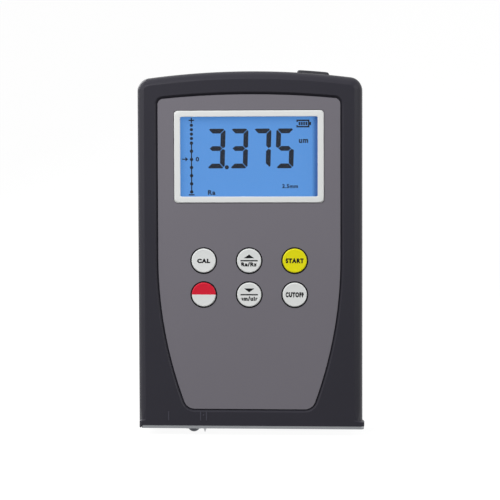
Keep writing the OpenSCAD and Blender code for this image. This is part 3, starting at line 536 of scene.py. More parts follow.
def soften(bm: Draft, width: float, pick: Callable[[Edge], bool], segments: int = 3,
           least_deg: float = 35) -> None:
    """Rounds the sharp edges that are picked.

    Args:
        bm: The mesh under work.
        width: Width of the rounding in metres.
        pick: Says whether an edge is rounded.
        segments: Steps in the rounding.
        least_deg: Flatter edges are left as they are.
    """
    sharp = [e for e in bm.edges if len(e.link_faces) == 2 and e.calc_face_angle(0) > math.radians(least_deg)]
    edges = [e for e in sharp if pick(e)]
    bmesh.ops.bevel(bm, geom=edges, offset=width, segments=segments, profile=0.5, affect="EDGES", clamp_overlap=True)


def hand_over(piece: Piece, body: str, slot: Slot, *nodes: str) -> None:
    """Hands a finished piece to the frame.

    Args:
        piece: The finished object.
        body: The body that carries it.
        slot: The record's slot; not used.
        *nodes: Frame nodes that it stands for.
    """
    carrier = str(getattr(body, "value", body))
    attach(piece, carrier)
    if nodes:
        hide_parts(*nodes)
    LOG.info("%s: %d faces on %s", piece.name, len(piece.data.polygons), carrier)


def prism(bm: Draft, outline: Iterable[Point], y0: float, y1: float) -> None:
    """Adds a closed plate with an outline in X and Z.

    Args:
        bm: The mesh under work.
        outline: Points of X and Z.
        y0: Depth of its front.
        y1: Depth of its back.
    """
    points = list(outline)
    rings = [[bm.verts.new((x, y, z)) for x, z in points] for y in (y0, y1)]
    for ring in rings:
        bm.faces.new(ring)
    join_rings(bm, rings)


def join_rings(bm: Draft, rings: Sequence[Sequence[bmesh.types.BMVert]], loop: bool = False) -> None:
    """Skins rings of equal count.

    Args:
        bm: The mesh under work.
        rings: The rings in order.
        loop: Whether the last ring is joined to the first.
    """
    pairs = list(zip(rings, rings[1:])) + ([(rings[-1], rings[0])] if loop else [])
    for one, two in pairs:
        count = len(one)
        for k in range(count):
            n = (k + 1) % count
            bm.faces.new((one[k], one[n], two[n], two[k]))


def lathe(bm: Draft, profile: Sequence[Point], matrix: Matrix, steps: int = 64) -> None:
    """Turns a profile of radius and height about Z and puts it in place.

    Args:
        bm: The mesh under work.
        profile: Points of radius and height; a radius of 0 closes the end.
        matrix: Place and direction of the turned shape.
        steps: Steps round the axis.
    """
    turn = [2 * math.pi * k / steps for k in range(steps)]
    join_rings(bm, [[bm.verts.new(matrix @ Vector((radius * math.cos(a), radius * math.sin(a), height))) for a in turn]
                    for radius, height in profile])


def arc(centre: Point, radius: float, start_deg: float, end_deg: float, steps: int) -> list[Point]:
    """Returns points on an arc, both ends included."""
    turn = [math.radians(start_deg + (end_deg - start_deg) * k / steps) for k in range(steps + 1)]
    return [(centre[0] + radius * math.cos(a), centre[1] + radius * math.sin(a)) for a in turn]


def box_outline(x0: float, z0: float, x1: float, z1: float) -> list[Point]:
    """Returns the outline of a plain rectangle from two of its corners."""
    return [(x0, z0), (x1, z0), (x1, z1), (x0, z1)]


def rounded_rect(width: float, height: float, radius: float, steps: int = 8) -> list[Point]:
    """Draws a centred rectangle with round corners, with the same count of points for any radius.

    Args:
        width: Its width.
        height: Its height.
        radius: Radius of its corners.
        steps: Steps in each corner.

    Returns:
        The outline.
    """
    points = []
    for sx, sz, start in ((1, 1, 0), (-1, 1, 90), (-1, -1, 180), (1, -1, 270)):
        points += arc((sx * (width / 2 - radius), sz * (height / 2 - radius)), radius, start, start + 90, steps)
    return points


class NodeForm:
    """A geometry node tree with named inputs, which is baked into plain meshes."""

    def __init__(self, name: str, inputs: dict[str, str]) -> None:
        """Starts the tree.

        Args:
            name: Name of the tree.
            inputs: For each named input, its socket type.
        """
        self.tree = bpy.data.node_groups.new(name, "GeometryNodeTree")
        self.tree.interface.new_socket("Geometry", in_out="INPUT", socket_type="NodeSocketGeometry")
        self.keys = {n: self.tree.interface.new_socket(n, in_out="INPUT", socket_type=t).identifier
                     for n, t in {**inputs, "Finish": "NodeSocketMaterial"}.items()}
        self.tree.interface.new_socket("Geometry", in_out="OUTPUT", socket_type="NodeSocketGeometry")
        self.inputs = self.tree.nodes.new("NodeGroupInput").outputs

    def add(self, kind: str, inputs: Links | None = None, **settings: Any) -> Node:
        """Adds a node to this tree."""
        return add_node(self.tree, kind, inputs, **settings)

    def close(self, geometry: Socket) -> None:
        """Realizes the instances, sets the finish and ends the tree.

        Args:
            geometry: What the tree has made.
        """
        real = self.add("GeometryNodeRealizeInstances", {0: geometry})
        painted = self.add("GeometryNodeSetMaterial", {"Geometry": real.outputs[0], "Material": self.inputs["Finish"]})
        self.add("NodeGroupOutput", {0: painted.outputs[0]})

    def bake(self, name: str, finish: Finish, source: Mesh | None = None, **values: Any) -> Piece:
        """Makes a plain mesh object from the tree.

        Args:
            name: Name of the piece.
            finish: Its finish.
            source: The mesh that enters the tree.
            **values: Values of the named inputs.

        Returns:
            The new object, with no modifier left.
        """
        holder = new_object(name, source or bpy.data.meshes.new(name))
        modifier = holder.modifiers.new("form", "NODES")
        modifier.node_group = self.tree
        modifier[self.keys["Finish"]] = finish.material()
        for key, value in values.items():
            modifier[self.keys[key]] = value
        bm = draft_of(evaluated_mesh(holder))
        bpy.data.objects.remove(holder)
        return piece_from(bm, name, [finish])


@dataclass(frozen=True)
class Legend:
    """Printed words and where they stand, in millimetres from the middle of their face.

    Attributes:
        text: The words.
        width: Width of the words.
        height: Height of the words.
        x: Shift to the right.
        z: Shift up.
        weight: How far the strokes are thickened on each side, as a share of the letter size.
    """

    text: str
    width: float
    height: float
    x: float = 0.0
    z: float = 0.0
    weight: float = 0.04

    def build(self, name: str, middle: Vector, finish: Finish, tracking: float) -> Piece:
        """Makes the words as a thin mesh that stands in the front plane.

        Args:
            name: Name of the piece.
            middle: Middle of the face that carries them.
            finish: The ink.
            tracking: Distance between letters, 1 being normal.

        Returns:
            The words, in front of that face.
        """
        curve = bpy.data.curves.new(name, "FONT")
        curve.body, curve.space_character = self.text, tracking
        curve.bevel_depth, curve.bevel_resolution, curve.resolution_u, curve.extrude = self.weight, 0, 4, 0.1
        holder = new_object(name, curve)
        mesh = evaluated_mesh(holder)
        bpy.data.objects.remove(holder)
        low, high = corners(v.co for v in mesh.vertices)
        wide, tall, deep = high - low
        size = Matrix.Diagonal((self.width * MM / wide, self.height * MM / tall, PRINT_T / deep, 1))
        spot = middle + Vector((self.x * MM, -PRINT_T / 2, self.z * MM))
        stand = Matrix.Translation(spot) @ Matrix.Rotation(QUARTER, 4, "X")
        mesh.transform(stand @ size @ Matrix.Translation((low + high) / -2))
        return piece_from(draft_of(mesh), name, [finish], 40)


def node_centre(node: str) -> Vector:
    """Returns the middle of a frame node's box."""
    low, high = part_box(node)
    return (low + high) / 2


@dataclass
class Housing:
    """The two mouldings, the panel in front and the cover at the back."""

    cover_round: float = 0.4 * MM
    jack_round: float = 0.25 * MM
    port_round: float = 0.8 * MM
    pad_t: float = 3 * MM
    rim_round: float = 0.3 * MM
    rim_reach: float = 2 * MM
    rim_proud: float = 0.2 * MM
    stop_round: float = 0.18 * MM
    toe_round: float = 0.2 * MM
    toe_band: Point = (1.4 * MM, 7 * MM)
    toe_side: float = 3 * MM
    toe_deep: float = 8 * MM
    mark_depth: float = 0.03 * MM
    mark_area: float = 2 * MM * MM
    flat_share: float = 0.9999
    crease_deg: float = 20

    def build(self) -> None:
        """Makes the mouldings that show from outside."""
        for node in ("front_housing", "rear_housing"):
            bm = merged_copy(node)
            self.soften_moulding(bm)
            self.mark_tops(bm)
            piece = piece_from(bm, f"{node}_moulding", [BLACK_ABS, MARK_HIGHLIGHT_ABS], self.crease_deg)
            self.crisp_flats(piece.data)
            hand_over(piece, Body.HOUSING, Slot.BLACK, node)
        panel = piece_from(merged_copy("front_panel"), "front_panel_film", [GREY_FILM])
        hand_over(panel, Body.HOUSING, Slot.PANEL, "front_panel")
        self.cover()
        self.port()
        self.jack()

    def soften_moulding(self, bm: Draft) -> None:
        """Rounds the rim of the panel's recess, the stop at the left end of the base plate and the toes of the foot.

        Args:
            bm: The moulding under work.
        """
        plate_low, plate_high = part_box("base_plate")
        panel_low, panel_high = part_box("front_panel")
        reach, (toe_low, toe_high) = self.rim_reach, self.toe_band

        def on_rim(edge: Edge) -> bool:
            """Says whether an edge lies on the rim of the panel's recess."""
            near = all(v.co.y < panel_low.y - self.rim_proud and abs(v.co.x) < panel_high.x + reach
                       and panel_low.z - reach < v.co.z < panel_high.z + reach for v in edge.verts)
            return near and any(abs(f.normal.y) < FACING for f in edge.link_faces)

        def on_stop(edge: Edge) -> bool:
            """Says whether an edge belongs to the stop beside the base plate."""
            return all(v.co.z < plate_high.z - MERGE and v.co.x < plate_low.x for v in edge.verts)

        def on_toe(edge: Edge) -> bool:
            """Says whether an edge belongs to a toe of the foot."""
            return all(toe_low < v.co.z - plate_high.z < toe_high and abs(v.co.x) > panel_high.x + self.toe_side
                       and v.co.y < panel_low.y + self.toe_deep for v in edge.verts)

        soften(bm, self.rim_round, on_rim, least_deg=25)
        soften(bm, self.stop_round, on_stop)
        soften(bm, self.toe_round, on_toe, segments=2, least_deg=12)

    def crisp_flats(self, mesh: Mesh) -> None:
        """Keeps the shading of small roundings off the flat front and back, which they border.

        Args:
            mesh: Mesh of the moulding.
        """
        bm = draft_of(mesh)
        for edge in bm.edges:
            flat = [abs(face.normal.y) > self.flat_share for face in edge.link_faces]
            if any(flat) and not all(flat):
                edge.smooth = False
        bm.to_mesh(mesh)
        bm.free()

    def mark_tops(self, bm: Draft) -> None:
        """Gives the tops of the small raised marks on the front a lighter grey: a painted highlight.

        Args:
            bm: The moulding under work.
        """
        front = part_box("front_housing")[0].y
        for face in bm.faces:
            top = face.calc_center_median()
            face.material_index = int(face.normal.y < -FACING and top.y < front + self.mark_depth
                                      and face.calc_area() < self.mark_area)

    def cover(self) -> None:
        """Makes the battery cover with soft outer edges."""
        bm = merged_copy("battery_cover")
        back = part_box("rear_housing")[1].y
        soften(bm, self.cover_round, lambda e: all(abs(v.co.y - back) < MERGE for v in e.verts))
        hand_over(piece_from(bm, "battery_cover_moulding", [BLACK_ABS]), Body.COVER, Slot.BLACK, "battery_cover")

    def port(self) -> None:
        """Makes the rubber port cover with a rounded pad."""
        bm = merged_copy("port_cover")
        pad_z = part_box("port_cover")[1].z - self.pad_t
        soften(bm, self.port_round, lambda e: all(v.co.z > pad_z for v in e.verts) and any(
            f.normal.z > FACING for f in e.link_faces), least_deg=60)
        hand_over(piece_from(bm, "port_cover_pad", [BLACK_RUBBER]), Body.PORT, Slot.RUBBER, "port_cover")

    def jack(self) -> None:
        """Makes the charge jack with a rounded collar."""
        bm = merged_copy("charge_jack")
        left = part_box("charge_jack")[0].x
        soften(bm, self.jack_round, lambda e: all(abs(v.co.x - left) < MERGE for v in e.verts))
        hand_over(piece_from(bm, "charge_jack_collar", [EPOXY]), Body.HOUSING, Slot.DARK, "charge_jack")


@dataclass
class Display:
    """The white frame, the clear window and the reading on the cell."""

    corner: float = 1.8 * MM
    seat_corner: float = 1.2 * MM
    inner_corner: float = 0.5 * MM
    frame_round: float = 0.35 * MM
    inner_round: float = 0.2 * MM
    seat_gap: float = 0.02 * MM
    ledge: float = 0.9 * MM
    window_play: float = 0.15 * MM
    digit_h: float = 14.1 * MM
    digit_w: float = 6.4 * MM
    digit_pitch: float = 8.16 * MM
    digits_x: float = -15.2 * MM
    digits_z: float = -4.15 * MM
    slant: float = math.tan(math.radians(1.7))
    stroke: float = 1.7 * MM
    stroke_gap: float = 0.13 * MM
    stroke_cut: float = 0.75 * MM
    point: tuple[float, float, float] = (7.19 * MM, 0.4 * MM, 0.74 * MM)
    point_sides: int = 16
    reading: str = "3375"
    gauge_x: float = -20.6 * MM
    gauge_rows: tuple[tuple[str, int, float, float, float], ...] = (
        ("upper", 4, 6.5 * MM, 1.57 * MM, 0.58 * MM), ("lower", 7, -12.5 * MM, 2.895 * MM, 0.62 * MM))
    charge_x: tuple[float, ...] = (17.6, 18.42, 19.24, 20.06)
    charge_z: Point = (11.08, 12.27)
    charge_w: float = 0.6
    signs: tuple[Sequence[Point], ...] = (
        box_outline(-20.81, -12.5, -20.39, 4.85),
        box_outline(-21.6, -13.75, -19.6, -13.3),
        ((-20.81, 12.0), (-20.39, 12.0), (-20.39, 12.74), (-19.65, 12.74), (-19.65, 13.16), (-20.39, 13.16),
         (-20.39, 13.9), (-20.81, 13.9), (-20.81, 13.16), (-21.55, 13.16), (-21.55, 12.74), (-20.81, 12.74)),
        ((-24.0, -1.02), (-22.8, -1.02), (-22.8, -1.62), (-21.8, -0.85), (-22.8, -0.08), (-22.8, -0.68),
         (-24.0, -0.68)),
        ((16.8, 10.3), (21.4, 10.3), (21.4, 11.1), (22.0, 11.1), (22.0, 12.25), (21.4, 12.25), (21.4, 13.05),
         (16.8, 13.05), (16.8, 12.25), (17.3, 12.25), (17.3, 12.53), (20.9, 12.53), (20.9, 10.82), (17.3, 10.82),
         (17.3, 11.1), (16.8, 11.1)))
    tracking: float = 1.15
    words: tuple[Legend, ...] = (
        Legend("0", 1.2, 1.65, -18.5, -0.85), Legend("um", 3.3, 1.45, 19.3, 5.5),
        Legend("Ra", 2.65, 1.75, -13.45, -12.72), Legend("2.5mm", 5.6, 1.45, 14.5, -10.5))

    def build(self) -> None:
        """Makes the frame, the window and everything that the cell shows."""
        self.surround()
        window = piece_from(merged_copy("display_window"), "display_window_sheet", [CLEAR_ACRYLIC])
        hand_over(window, Body.HOUSING, Slot.WINDOW, "display_window")
        self.gasket()
        self.reading_segments()
        self.gauge()
        for k, legend in enumerate(self.words):
            piece = legend.build(f"display_word_{k}", self.at(0, 0), SEGMENT_INK, self.tracking)
            hand_over(piece, Body.HOUSING, Slot.CELL)

    def at(self, x: float, z: float) -> Vector:
        """Returns a point on the face of the cell, measured from the middle of the white frame."""
        middle = node_centre("display_bezel")
        return Vector((middle.x + x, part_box("lcd_cell")[0].y, middle.z + z))

    def surround(self) -> None:
        """Makes the white frame from one section with rounded edges."""
        low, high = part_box("display_bezel")
        inner_low, inner_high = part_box("display_window")
        middle, width, height = (low + high) / 2, high.x - low.x, high.z - low.z
        border = (width - (inner_high.x - inner_low.x)) / 2 + self.ledge
        step = border - self.ledge - self.window_play
        r, s = self.frame_round, self.inner_round
        seat = low.y + r + self.seat_gap
        section = [(0.0, high.y), (0.0, seat)] + [(r - a, low.y + r - b) for a, b in arc((0, 0), r, 0, 90, 4)]
        section += [(border - s + a, low.y + s - b) for a, b in arc((0, 0), s, 90, 0, 3)]
        section += [(border, inner_low.y), (step, inner_low.y), (step, high.y)]
        bm = bmesh.new()
        rings = []
        for inset, y in section:
            corner = self.corner if y < seat else self.seat_corner
            outline = rounded_rect(width - 2 * inset, height - 2 * inset, max(corner - inset, self.inner_corner))
            rings.append([bm.verts.new((middle.x + x, y, middle.z + z)) for x, z in outline])
        join_rings(bm, rings, loop=True)
        hand_over(piece_from(bm, "display_bezel_frame", [WHITE_ABS]), Body.HOUSING, Slot.WHITE, "display_bezel")

    def gasket(self) -> None:
        """Masks the rim of the cell with black seal rubber, so that no light leaks round the white frame."""
        low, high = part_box("lcd_cell")
        inner_low, inner_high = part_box("display_window")
        bm = bmesh.new()
        rings = []
        for (a, b), y in (((low, high), low.y), ((low, high), low.y - PRINT_T),
                          ((inner_low, inner_high), low.y - PRINT_T), ((inner_low, inner_high), low.y)):
            rings.append([bm.verts.new((x, y, z)) for x, z in box_outline(a.x, a.z, b.x, b.z)])
        join_rings(bm, rings, loop=True)
        hand_over(piece_from(bm, "display_gasket", [SEAL_AND_GAP_SHADE_RUBBER]), Body.HOUSING, Slot.RUBBER)

    def segments(self) -> dict[str, list[Point]]:
        """Returns the outlines of a digit's seven segments, mitred where they meet, in the digit's own frame."""
        w, h, s, g = self.digit_w, self.digit_h, self.stroke, self.stroke_gap
        mid, half = h / 2, s / 2

        def flip(outline: list[Point], side: bool, top: bool) -> list[Point]:
            """Mirrors an outline across the digit's middle lines."""
            return [(w - x if side else x, h - z if top else z) for x, z in outline]

        k = self.stroke_cut
        level = [(g + k, 0.0), (w - g - k, 0.0), (w - g - k / 2, k / 2), (w - s - g, s), (s + g, s), (g + k / 2, k / 2)]
        upright = [(w, g + k), (w, mid - half / 2 - g), (w - half, mid - g), (w - s, mid - half - g), (w - s, s + g),
                   (w - k / 2, g + k / 2)]
        middle = [(k + g, mid), (s + g, mid - half), (w - s - g, mid - half), (w - half - g, mid),
                  (w - s - g, mid + half), (s + g, mid + half)]
        return {"a": flip(level, False, True), "b": flip(upright, False, True), "c": upright, "d": level,
                "e": flip(upright, True, False), "f": flip(upright, True, True), "g": middle}

    def reading_segments(self) -> None:
        """Makes the large slanted digits of the reading and its point."""
        lit = {"3": "abcdg", "7": "abc", "5": "acdfg"}
        outlines = self.segments()
        origin = self.at(self.digits_x, self.digits_z)
        bm = bmesh.new()

        def lay(outline: Iterable[Point], shift: float) -> None:
            """Adds one slanted outline to the reading."""
            prism(bm, [(origin.x + shift + x + z * self.slant, origin.z + z) for x, z in outline],
                  origin.y - PRINT_T, origin.y)

        for k, digit in enumerate(self.reading):
            for letter in lit[digit]:
                lay(outlines[letter], k * self.digit_pitch)
        x, z, radius = self.point
        lay(arc((x, z), radius, 0, 360 - 360 / self.point_sides, self.point_sides - 1), 0.0)
        hand_over(piece_from(bm, "display_reading", [SEGMENT_INK]), Body.HOUSING, Slot.CELL)

    def gauge(self) -> None:
        """Makes the level gauge at the left of the cell and the charge sign at the upper right."""
        form = NodeForm("gauge_dots", {"Count": "NodeSocketInt", "Pitch": "NodeSocketFloat",
                                       "Radius": "NodeSocketFloat", "Start": "NodeSocketVector"})
        step = form.add("ShaderNodeCombineXYZ", {"Z": form.inputs["Pitch"]})
        line = form.add("GeometryNodeMeshLine", {"Count": form.inputs["Count"], "Start Location": form.inputs["Start"],
                                                 "Offset": step.outputs[0]})
        dot = form.add("GeometryNodeMeshCylinder", {"Vertices": 12, "Radius": form.inputs["Radius"], "Depth": PRINT_T})
        spots = form.add("GeometryNodeInstanceOnPoints", {
            "Points": line.outputs[0], "Instance": dot.outputs[0], "Rotation": (QUARTER, 0, 0)})
        form.close(spots.outputs[0])
        lift = Vector((0, -PRINT_T / 2, 0))
        for name, count, start, pitch, radius in self.gauge_rows:
            piece = form.bake(f"display_gauge_{name}", SEGMENT_INK, Count=count, Pitch=pitch, Radius=radius,
                              Start=self.at(self.gauge_x, start) + lift)
            hand_over(piece, Body.HOUSING, Slot.CELL)
        bm = bmesh.new()
        face = self.at(0, 0)
        fills = [box_outline(x, self.charge_z[0], x + self.charge_w, self.charge_z[1]) for x in self.charge_x]
        for outline in (*self.signs, *fills):
            prism(bm, [(face.x + x * MM, face.z + z * MM) for x, z in outline], face.y - PRINT_T, face.y)
        hand_over(piece_from(bm, "display_signs", [SEGMENT_INK]), Body.HOUSING, Slot.CELL)


@dataclass
class Keypad:
    """Six round keys with their printed legends."""

    cap_r: float = 4.3 * MM
    rim: float = 0.35 * MM
    dish: float = 0.06 * MM
    dish_flat: float = 0.7
    dish_edge: Point = (0.93, 0.35)
    flange_gap: float = 0.1 * MM
    flange_t: float = 0.8 * MM
    stem_r: float = 1.5 * MM
    bar: Point = (6.15 * MM, 0.46 * MM)
    arrow: Point = (3.7 * MM, 1.35 * MM)
    arrow_z: float = 0.88 * MM
    # Inner and outer radius of the dark rings in the key gaps, which are painted shade of those gaps
    seal: Point = (4.34 * MM, 4.78 * MM)
    seal_sink: float = 0.05 * MM
    tracking: float = 1.22
    caps: dict[str, tuple[Finish, Slot]] = field(default_factory=lambda: {
        "key_cal": (WHITE_ABS, Slot.WHITE), "key_up": (WHITE_ABS, Slot.WHITE),
        "key_start": (YELLOW_ABS, Slot.YELLOW), "key_power": (RED_ABS, Slot.RED),
        "key_down": (WHITE_ABS, Slot.WHITE), "key_cutoff": (WHITE_ABS, Slot.WHITE)})
    words: dict[str, Legend] = field(default_factory=lambda: {
        "key_cal": Legend("CAL", 4.65, 1.6, z=-0.08, weight=0.075),
        "key_start": Legend("START", 6.6, 1.75, weight=0.07),
        "key_cutoff": Legend("CUTOFF", 6.6, 1.85, weight=0.075),
        "key_up": Legend("Ra/Rz", 5.6, 1.5, z=-1.3, weight=0.065),
        "key_down": Legend("um/uin", 6.4, 1.62, z=-1.42, weight=0.064)})

    def build(self) -> None:
        """Makes the caps and what is printed on them."""
        for node, (finish, slot) in self.caps.items():
            self.cap(node, finish, slot)
        self.seals()
        for node, legend in self.words.items():
            ink = legend.build(f"{node}_legend", self.face(node), LEGEND_INK, self.tracking)
            hand_over(ink, node, Slot.DARK)
        self.arrows("key_up", 1)
        self.arrows("key_down", -1)

    def face(self, node: str) -> Vector:
        """Returns the middle of a key's face."""
        middle = node_centre(node)
        return Vector((middle.x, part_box(node)[0].y + self.dish, middle.z))

    def cap(self, node: str, finish: Finish, slot: Slot) -> None:
        """Makes one key: a dished cap with a round rim, its flange and its stem.

        Args:
            node: The frame node that the key stands for.
            finish: Finish of the cap.
            slot: The record's slot.
        """
        low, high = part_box(node)
        middle = (low + high) / 2
        flange_r, face_r = (high.x - low.x) / 2, self.cap_r - self.rim
        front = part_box("display_bezel")[1].y + self.flange_gap
        back = front + self.flange_t
        edge, rise = self.dish_edge
        profile = [(0.0, low.y + self.dish), (face_r * self.dish_flat, low.y + self.dish),
                   (face_r * edge, low.y + self.dish * rise)]
        profile += [(face_r + a, low.y + self.rim - b) for a, b in arc((0, 0), self.rim, 90, 0, 5)]
        profile += [(self.cap_r, front), (flange_r, front), (flange_r, back), (self.stem_r, back),
                    (self.stem_r, high.y), (0.0, high.y)]
        bm = bmesh.new()
        lathe(bm, profile, Matrix.Translation((middle.x, 0, middle.z)) @ Matrix.Rotation(-QUARTER, 4, "X"), 96)
        finishes = [finish]
        if node == "key_power":
            finishes.append(WHITE_ABS)
            for f in bm.faces:
                f.material_index = int(f.calc_center_median().z < middle.z)
        hand_over(piece_from(bm, f"{node}_cap", finishes), node, slot, node)

    def seals(self) -> None:
        """Fills the gap round every key with a dark rubber ring, set with one node tree: painted shade of that gap."""
        low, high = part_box("front_panel")
        inner, outer = self.seal
        front, back = low.y + self.seal_sink, high.y
        bm = bmesh.new()
        profile = [(inner, front), (outer, front), (outer, back), (inner, back), (inner, front)]
        lathe(bm, profile, Matrix.Rotation(-QUARTER, 4, "X"))
        ring = piece_from(bm, "key_seal_ring", [SEAL_AND_GAP_SHADE_RUBBER])
        form = NodeForm("rings_on_points", {"Ring": "NodeSocketObject"})
        shape = form.add("GeometryNodeObjectInfo", {"Object": form.inputs["Ring"]})
        spots = form.add("GeometryNodeInstanceOnPoints", {"Points": form.inputs["Geometry"],
                                                          "Instance": shape.outputs["Geometry"]})
        form.close(spots.outputs[0])
        places = bpy.data.meshes.new("key_places")
        places.from_pydata([node_centre(node) * Vector((1, 0, 1)) for node in self.caps], [], [])
        hand_over(form.bake("key_seals", SEAL_AND_GAP_SHADE_RUBBER, places, Ring=ring), Body.HOUSING, Slot.RUBBER)
        bpy.data.objects.remove(ring)

    def arrows(self, node: str, way: int) -> None:
        """Prints the triangle and the bar above a key's words.

        Args:
            node: The key.
            way: 1 for a triangle that points up, -1 for one that points down.
        """
        spot = self.face(node)
        (width, height), (bar_w, bar_h) = self.arrow, self.bar
        base, apex = (0.0, height) if way > 0 else (height, 0.0)
        bm = bmesh.new()
        triangle = [(-width / 2, self.arrow_z + base), (width / 2, self.arrow_z + base), (0.0, self.arrow_z + apex)]
        bar = box_outline(-bar_w / 2, -bar_h / 2, bar_w / 2, bar_h / 2)
        for outline in (triangle, bar):
            prism(bm, [(spot.x + x, spot.z + z) for x, z in outline], spot.y - PRINT_T, spot.y)
        hand_over(piece_from(bm, f"{node}_arrow", [LEGEND_INK]), node, Slot.DARK)


@dataclass(frozen=True)
class ScrewKind:
    """One kind of screw, for a group that is one frame node.

    Attributes:
        node: The frame node of the group.
        tilt: Turn about X from a head that points up.
        head_d: Diameter of the head.
        head_t: Height of a flat head, or 0 for a countersunk one.
        shank_d: Diameter of the shank.
        length: Length under the head.
    """

    node: str
    tilt: float
    head_d: float
    head_t: float
    shank_d: float
    length: float


@dataclass
class Fasteners:
    """Screws of the housing, the base, the board and the bracket, set by one node tree."""

    slot_w: float = 0.5 * MM
    slot_depth: float = 0.7 * MM
    slot_share: float = 0.62
    head_round: float = 0.3 * MM
    tip: Point = (0.4, 0.5)
    seed: int = 7
    kinds: tuple[ScrewKind, ...] = (
        ScrewKind("housing_screws", -QUARTER, 4.4 * MM, 1.8 * MM, 2.2 * MM, 10.0 * MM),
        ScrewKind("board_screws", -QUARTER, 3.8 * MM, 1.3 * MM, 1.9 * MM, 4.6 * MM),
        ScrewKind("bracket_screws", 0.0, 3.8 * MM, 1.3 * MM, 2.0 * MM, 3.2 * MM),
        ScrewKind("base_screws", math.pi, 3.4 * MM, 0.0, 1.9 * MM, 5.8 * MM))

    def build(self) -> None:
        """Makes each group of screws from the islands of its frame node."""
        form = NodeForm("screws_on_points", {"Screw": "NodeSocketObject", "Tilt": "NodeSocketVector"})
        screw = form.add("GeometryNodeObjectInfo", {"Object": form.inputs["Screw"]})
        points = form.add("GeometryNodeMeshToPoints", {"Mesh": form.inputs["Geometry"]})
        turn = form.add("FunctionNodeRandomValue", {2: 0.0, 3: math.pi, "Seed": self.seed}, data_type="FLOAT")
        spin = form.add("ShaderNodeCombineXYZ", {"Z": turn.outputs[1]})
        tilted = form.add("FunctionNodeEulerToRotation", {0: form.inputs["Tilt"]})
        spun = form.add("FunctionNodeEulerToRotation", {0: spin.outputs[0]})
        both = form.add("FunctionNodeRotateRotation", {0: tilted.outputs[0], 1: spun.outputs[0]},
                        rotation_space="LOCAL")
        spots = form.add("GeometryNodeInstanceOnPoints", {
            "Points": points.outputs[0], "Instance": screw.outputs["Geometry"], "Rotation": both.outputs[0]})
        form.close(spots.outputs[0])
        for kind in self.kinds:
            template = self.template(kind)
            points = bpy.data.meshes.new(f"{kind.node}_points")
            points.from_pydata(self.places(kind), [], [])
            piece = form.bake(f"{kind.node}_set", TURNED_STEEL, points, Screw=template, Tilt=(kind.tilt, 0.0, 0.0))
            bpy.data.objects.remove(template)
            hand_over(piece, Body.HOUSING, Slot.STEEL, kind.node)

    def places(self, kind: ScrewKind) -> list[Vector]:
        """Finds where the heads of a group's screws sit.

        Args:
            kind: The kind of screw.

        Returns:
            The seat of each head.
        """
        bm = merged_copy(kind.node)
        up = Matrix.Rotation(kind.tilt, 3, "X") @ Vector((0, 0, 1))
        seats, todo = [], set(bm.verts)
        while todo:
            island, edge = [], [todo.pop()]
            while edge:
                vert = edge.pop()
                island.append(vert.co.copy())
                near = {link.other_vert(vert) for link in vert.link_edges} & todo
                todo -= near
                edge += near
            middle = sum(corners(island), Vector()) / 2
            top = max(spot.dot(up) for spot in island)
            seats.append(middle + up * (top - kind.head_t - middle.dot(up)))
        bm.free()
        return sorted(seats, key=lambda p: (round(p.x, 6), round(p.z, 6), round(p.y, 6)))

    def template(self, kind: ScrewKind) -> Piece:
        """Makes one screw with a cross slot, its head pointing up from the origin.

        Args:
            kind: The kind of screw.

        Returns:
            The screw, which is removed after use.
        """
        head_r, shank_r, soft = kind.head_d / 2, kind.shank_d / 2, self.head_round
        profile, cone = [(0.0, 0.0), (head_r, 0.0)], head_r - shank_r
        if kind.head_t:
            crown = arc((head_r - soft, kind.head_t - soft), soft, 90, 0, 4)
            profile, cone = [(0.0, kind.head_t), *crown, (head_r, 0.0)], 0.0
        tip_r, tip_l = (shank_r * share for share in self.tip)
        profile += [(shank_r, -cone), (shank_r, tip_l - kind.length), (tip_r, -kind.length), (0.0, -kind.length)]
        bm = bmesh.new()
        lathe(bm, profile, Matrix.Identity(4), 32)
        screw = piece_from(bm, f"{kind.node}_one", [TURNED_STEEL])
        cutter = bmesh.new()
        bar = Matrix.Diagonal((kind.head_d * self.slot_share, self.slot_w, 2 * self.slot_depth, 1))
        for angle in (0, QUARTER):
            cross = Matrix.Translation((0, 0, kind.head_t)) @ Matrix.Rotation(angle, 4, "Z") @ bar
            bmesh.ops.create_cube(cutter, size=1.0, matrix=cross)
        tool = piece_from(cutter, f"{kind.node}_slot", [TURNED_STEEL])
        for piece in (screw, tool):
            piece.modifiers.clear()
        cut = screw.modifiers.new("slot", "BOOLEAN")
        cut.object, cut.operation, cut.solver, cut.use_self = tool, "DIFFERENCE", "EXACT", True
        mesh = evaluated_mesh(screw)
        screw.modifiers.clear()
        screw.data = mesh
        bpy.data.objects.remove(tool)
        return screw


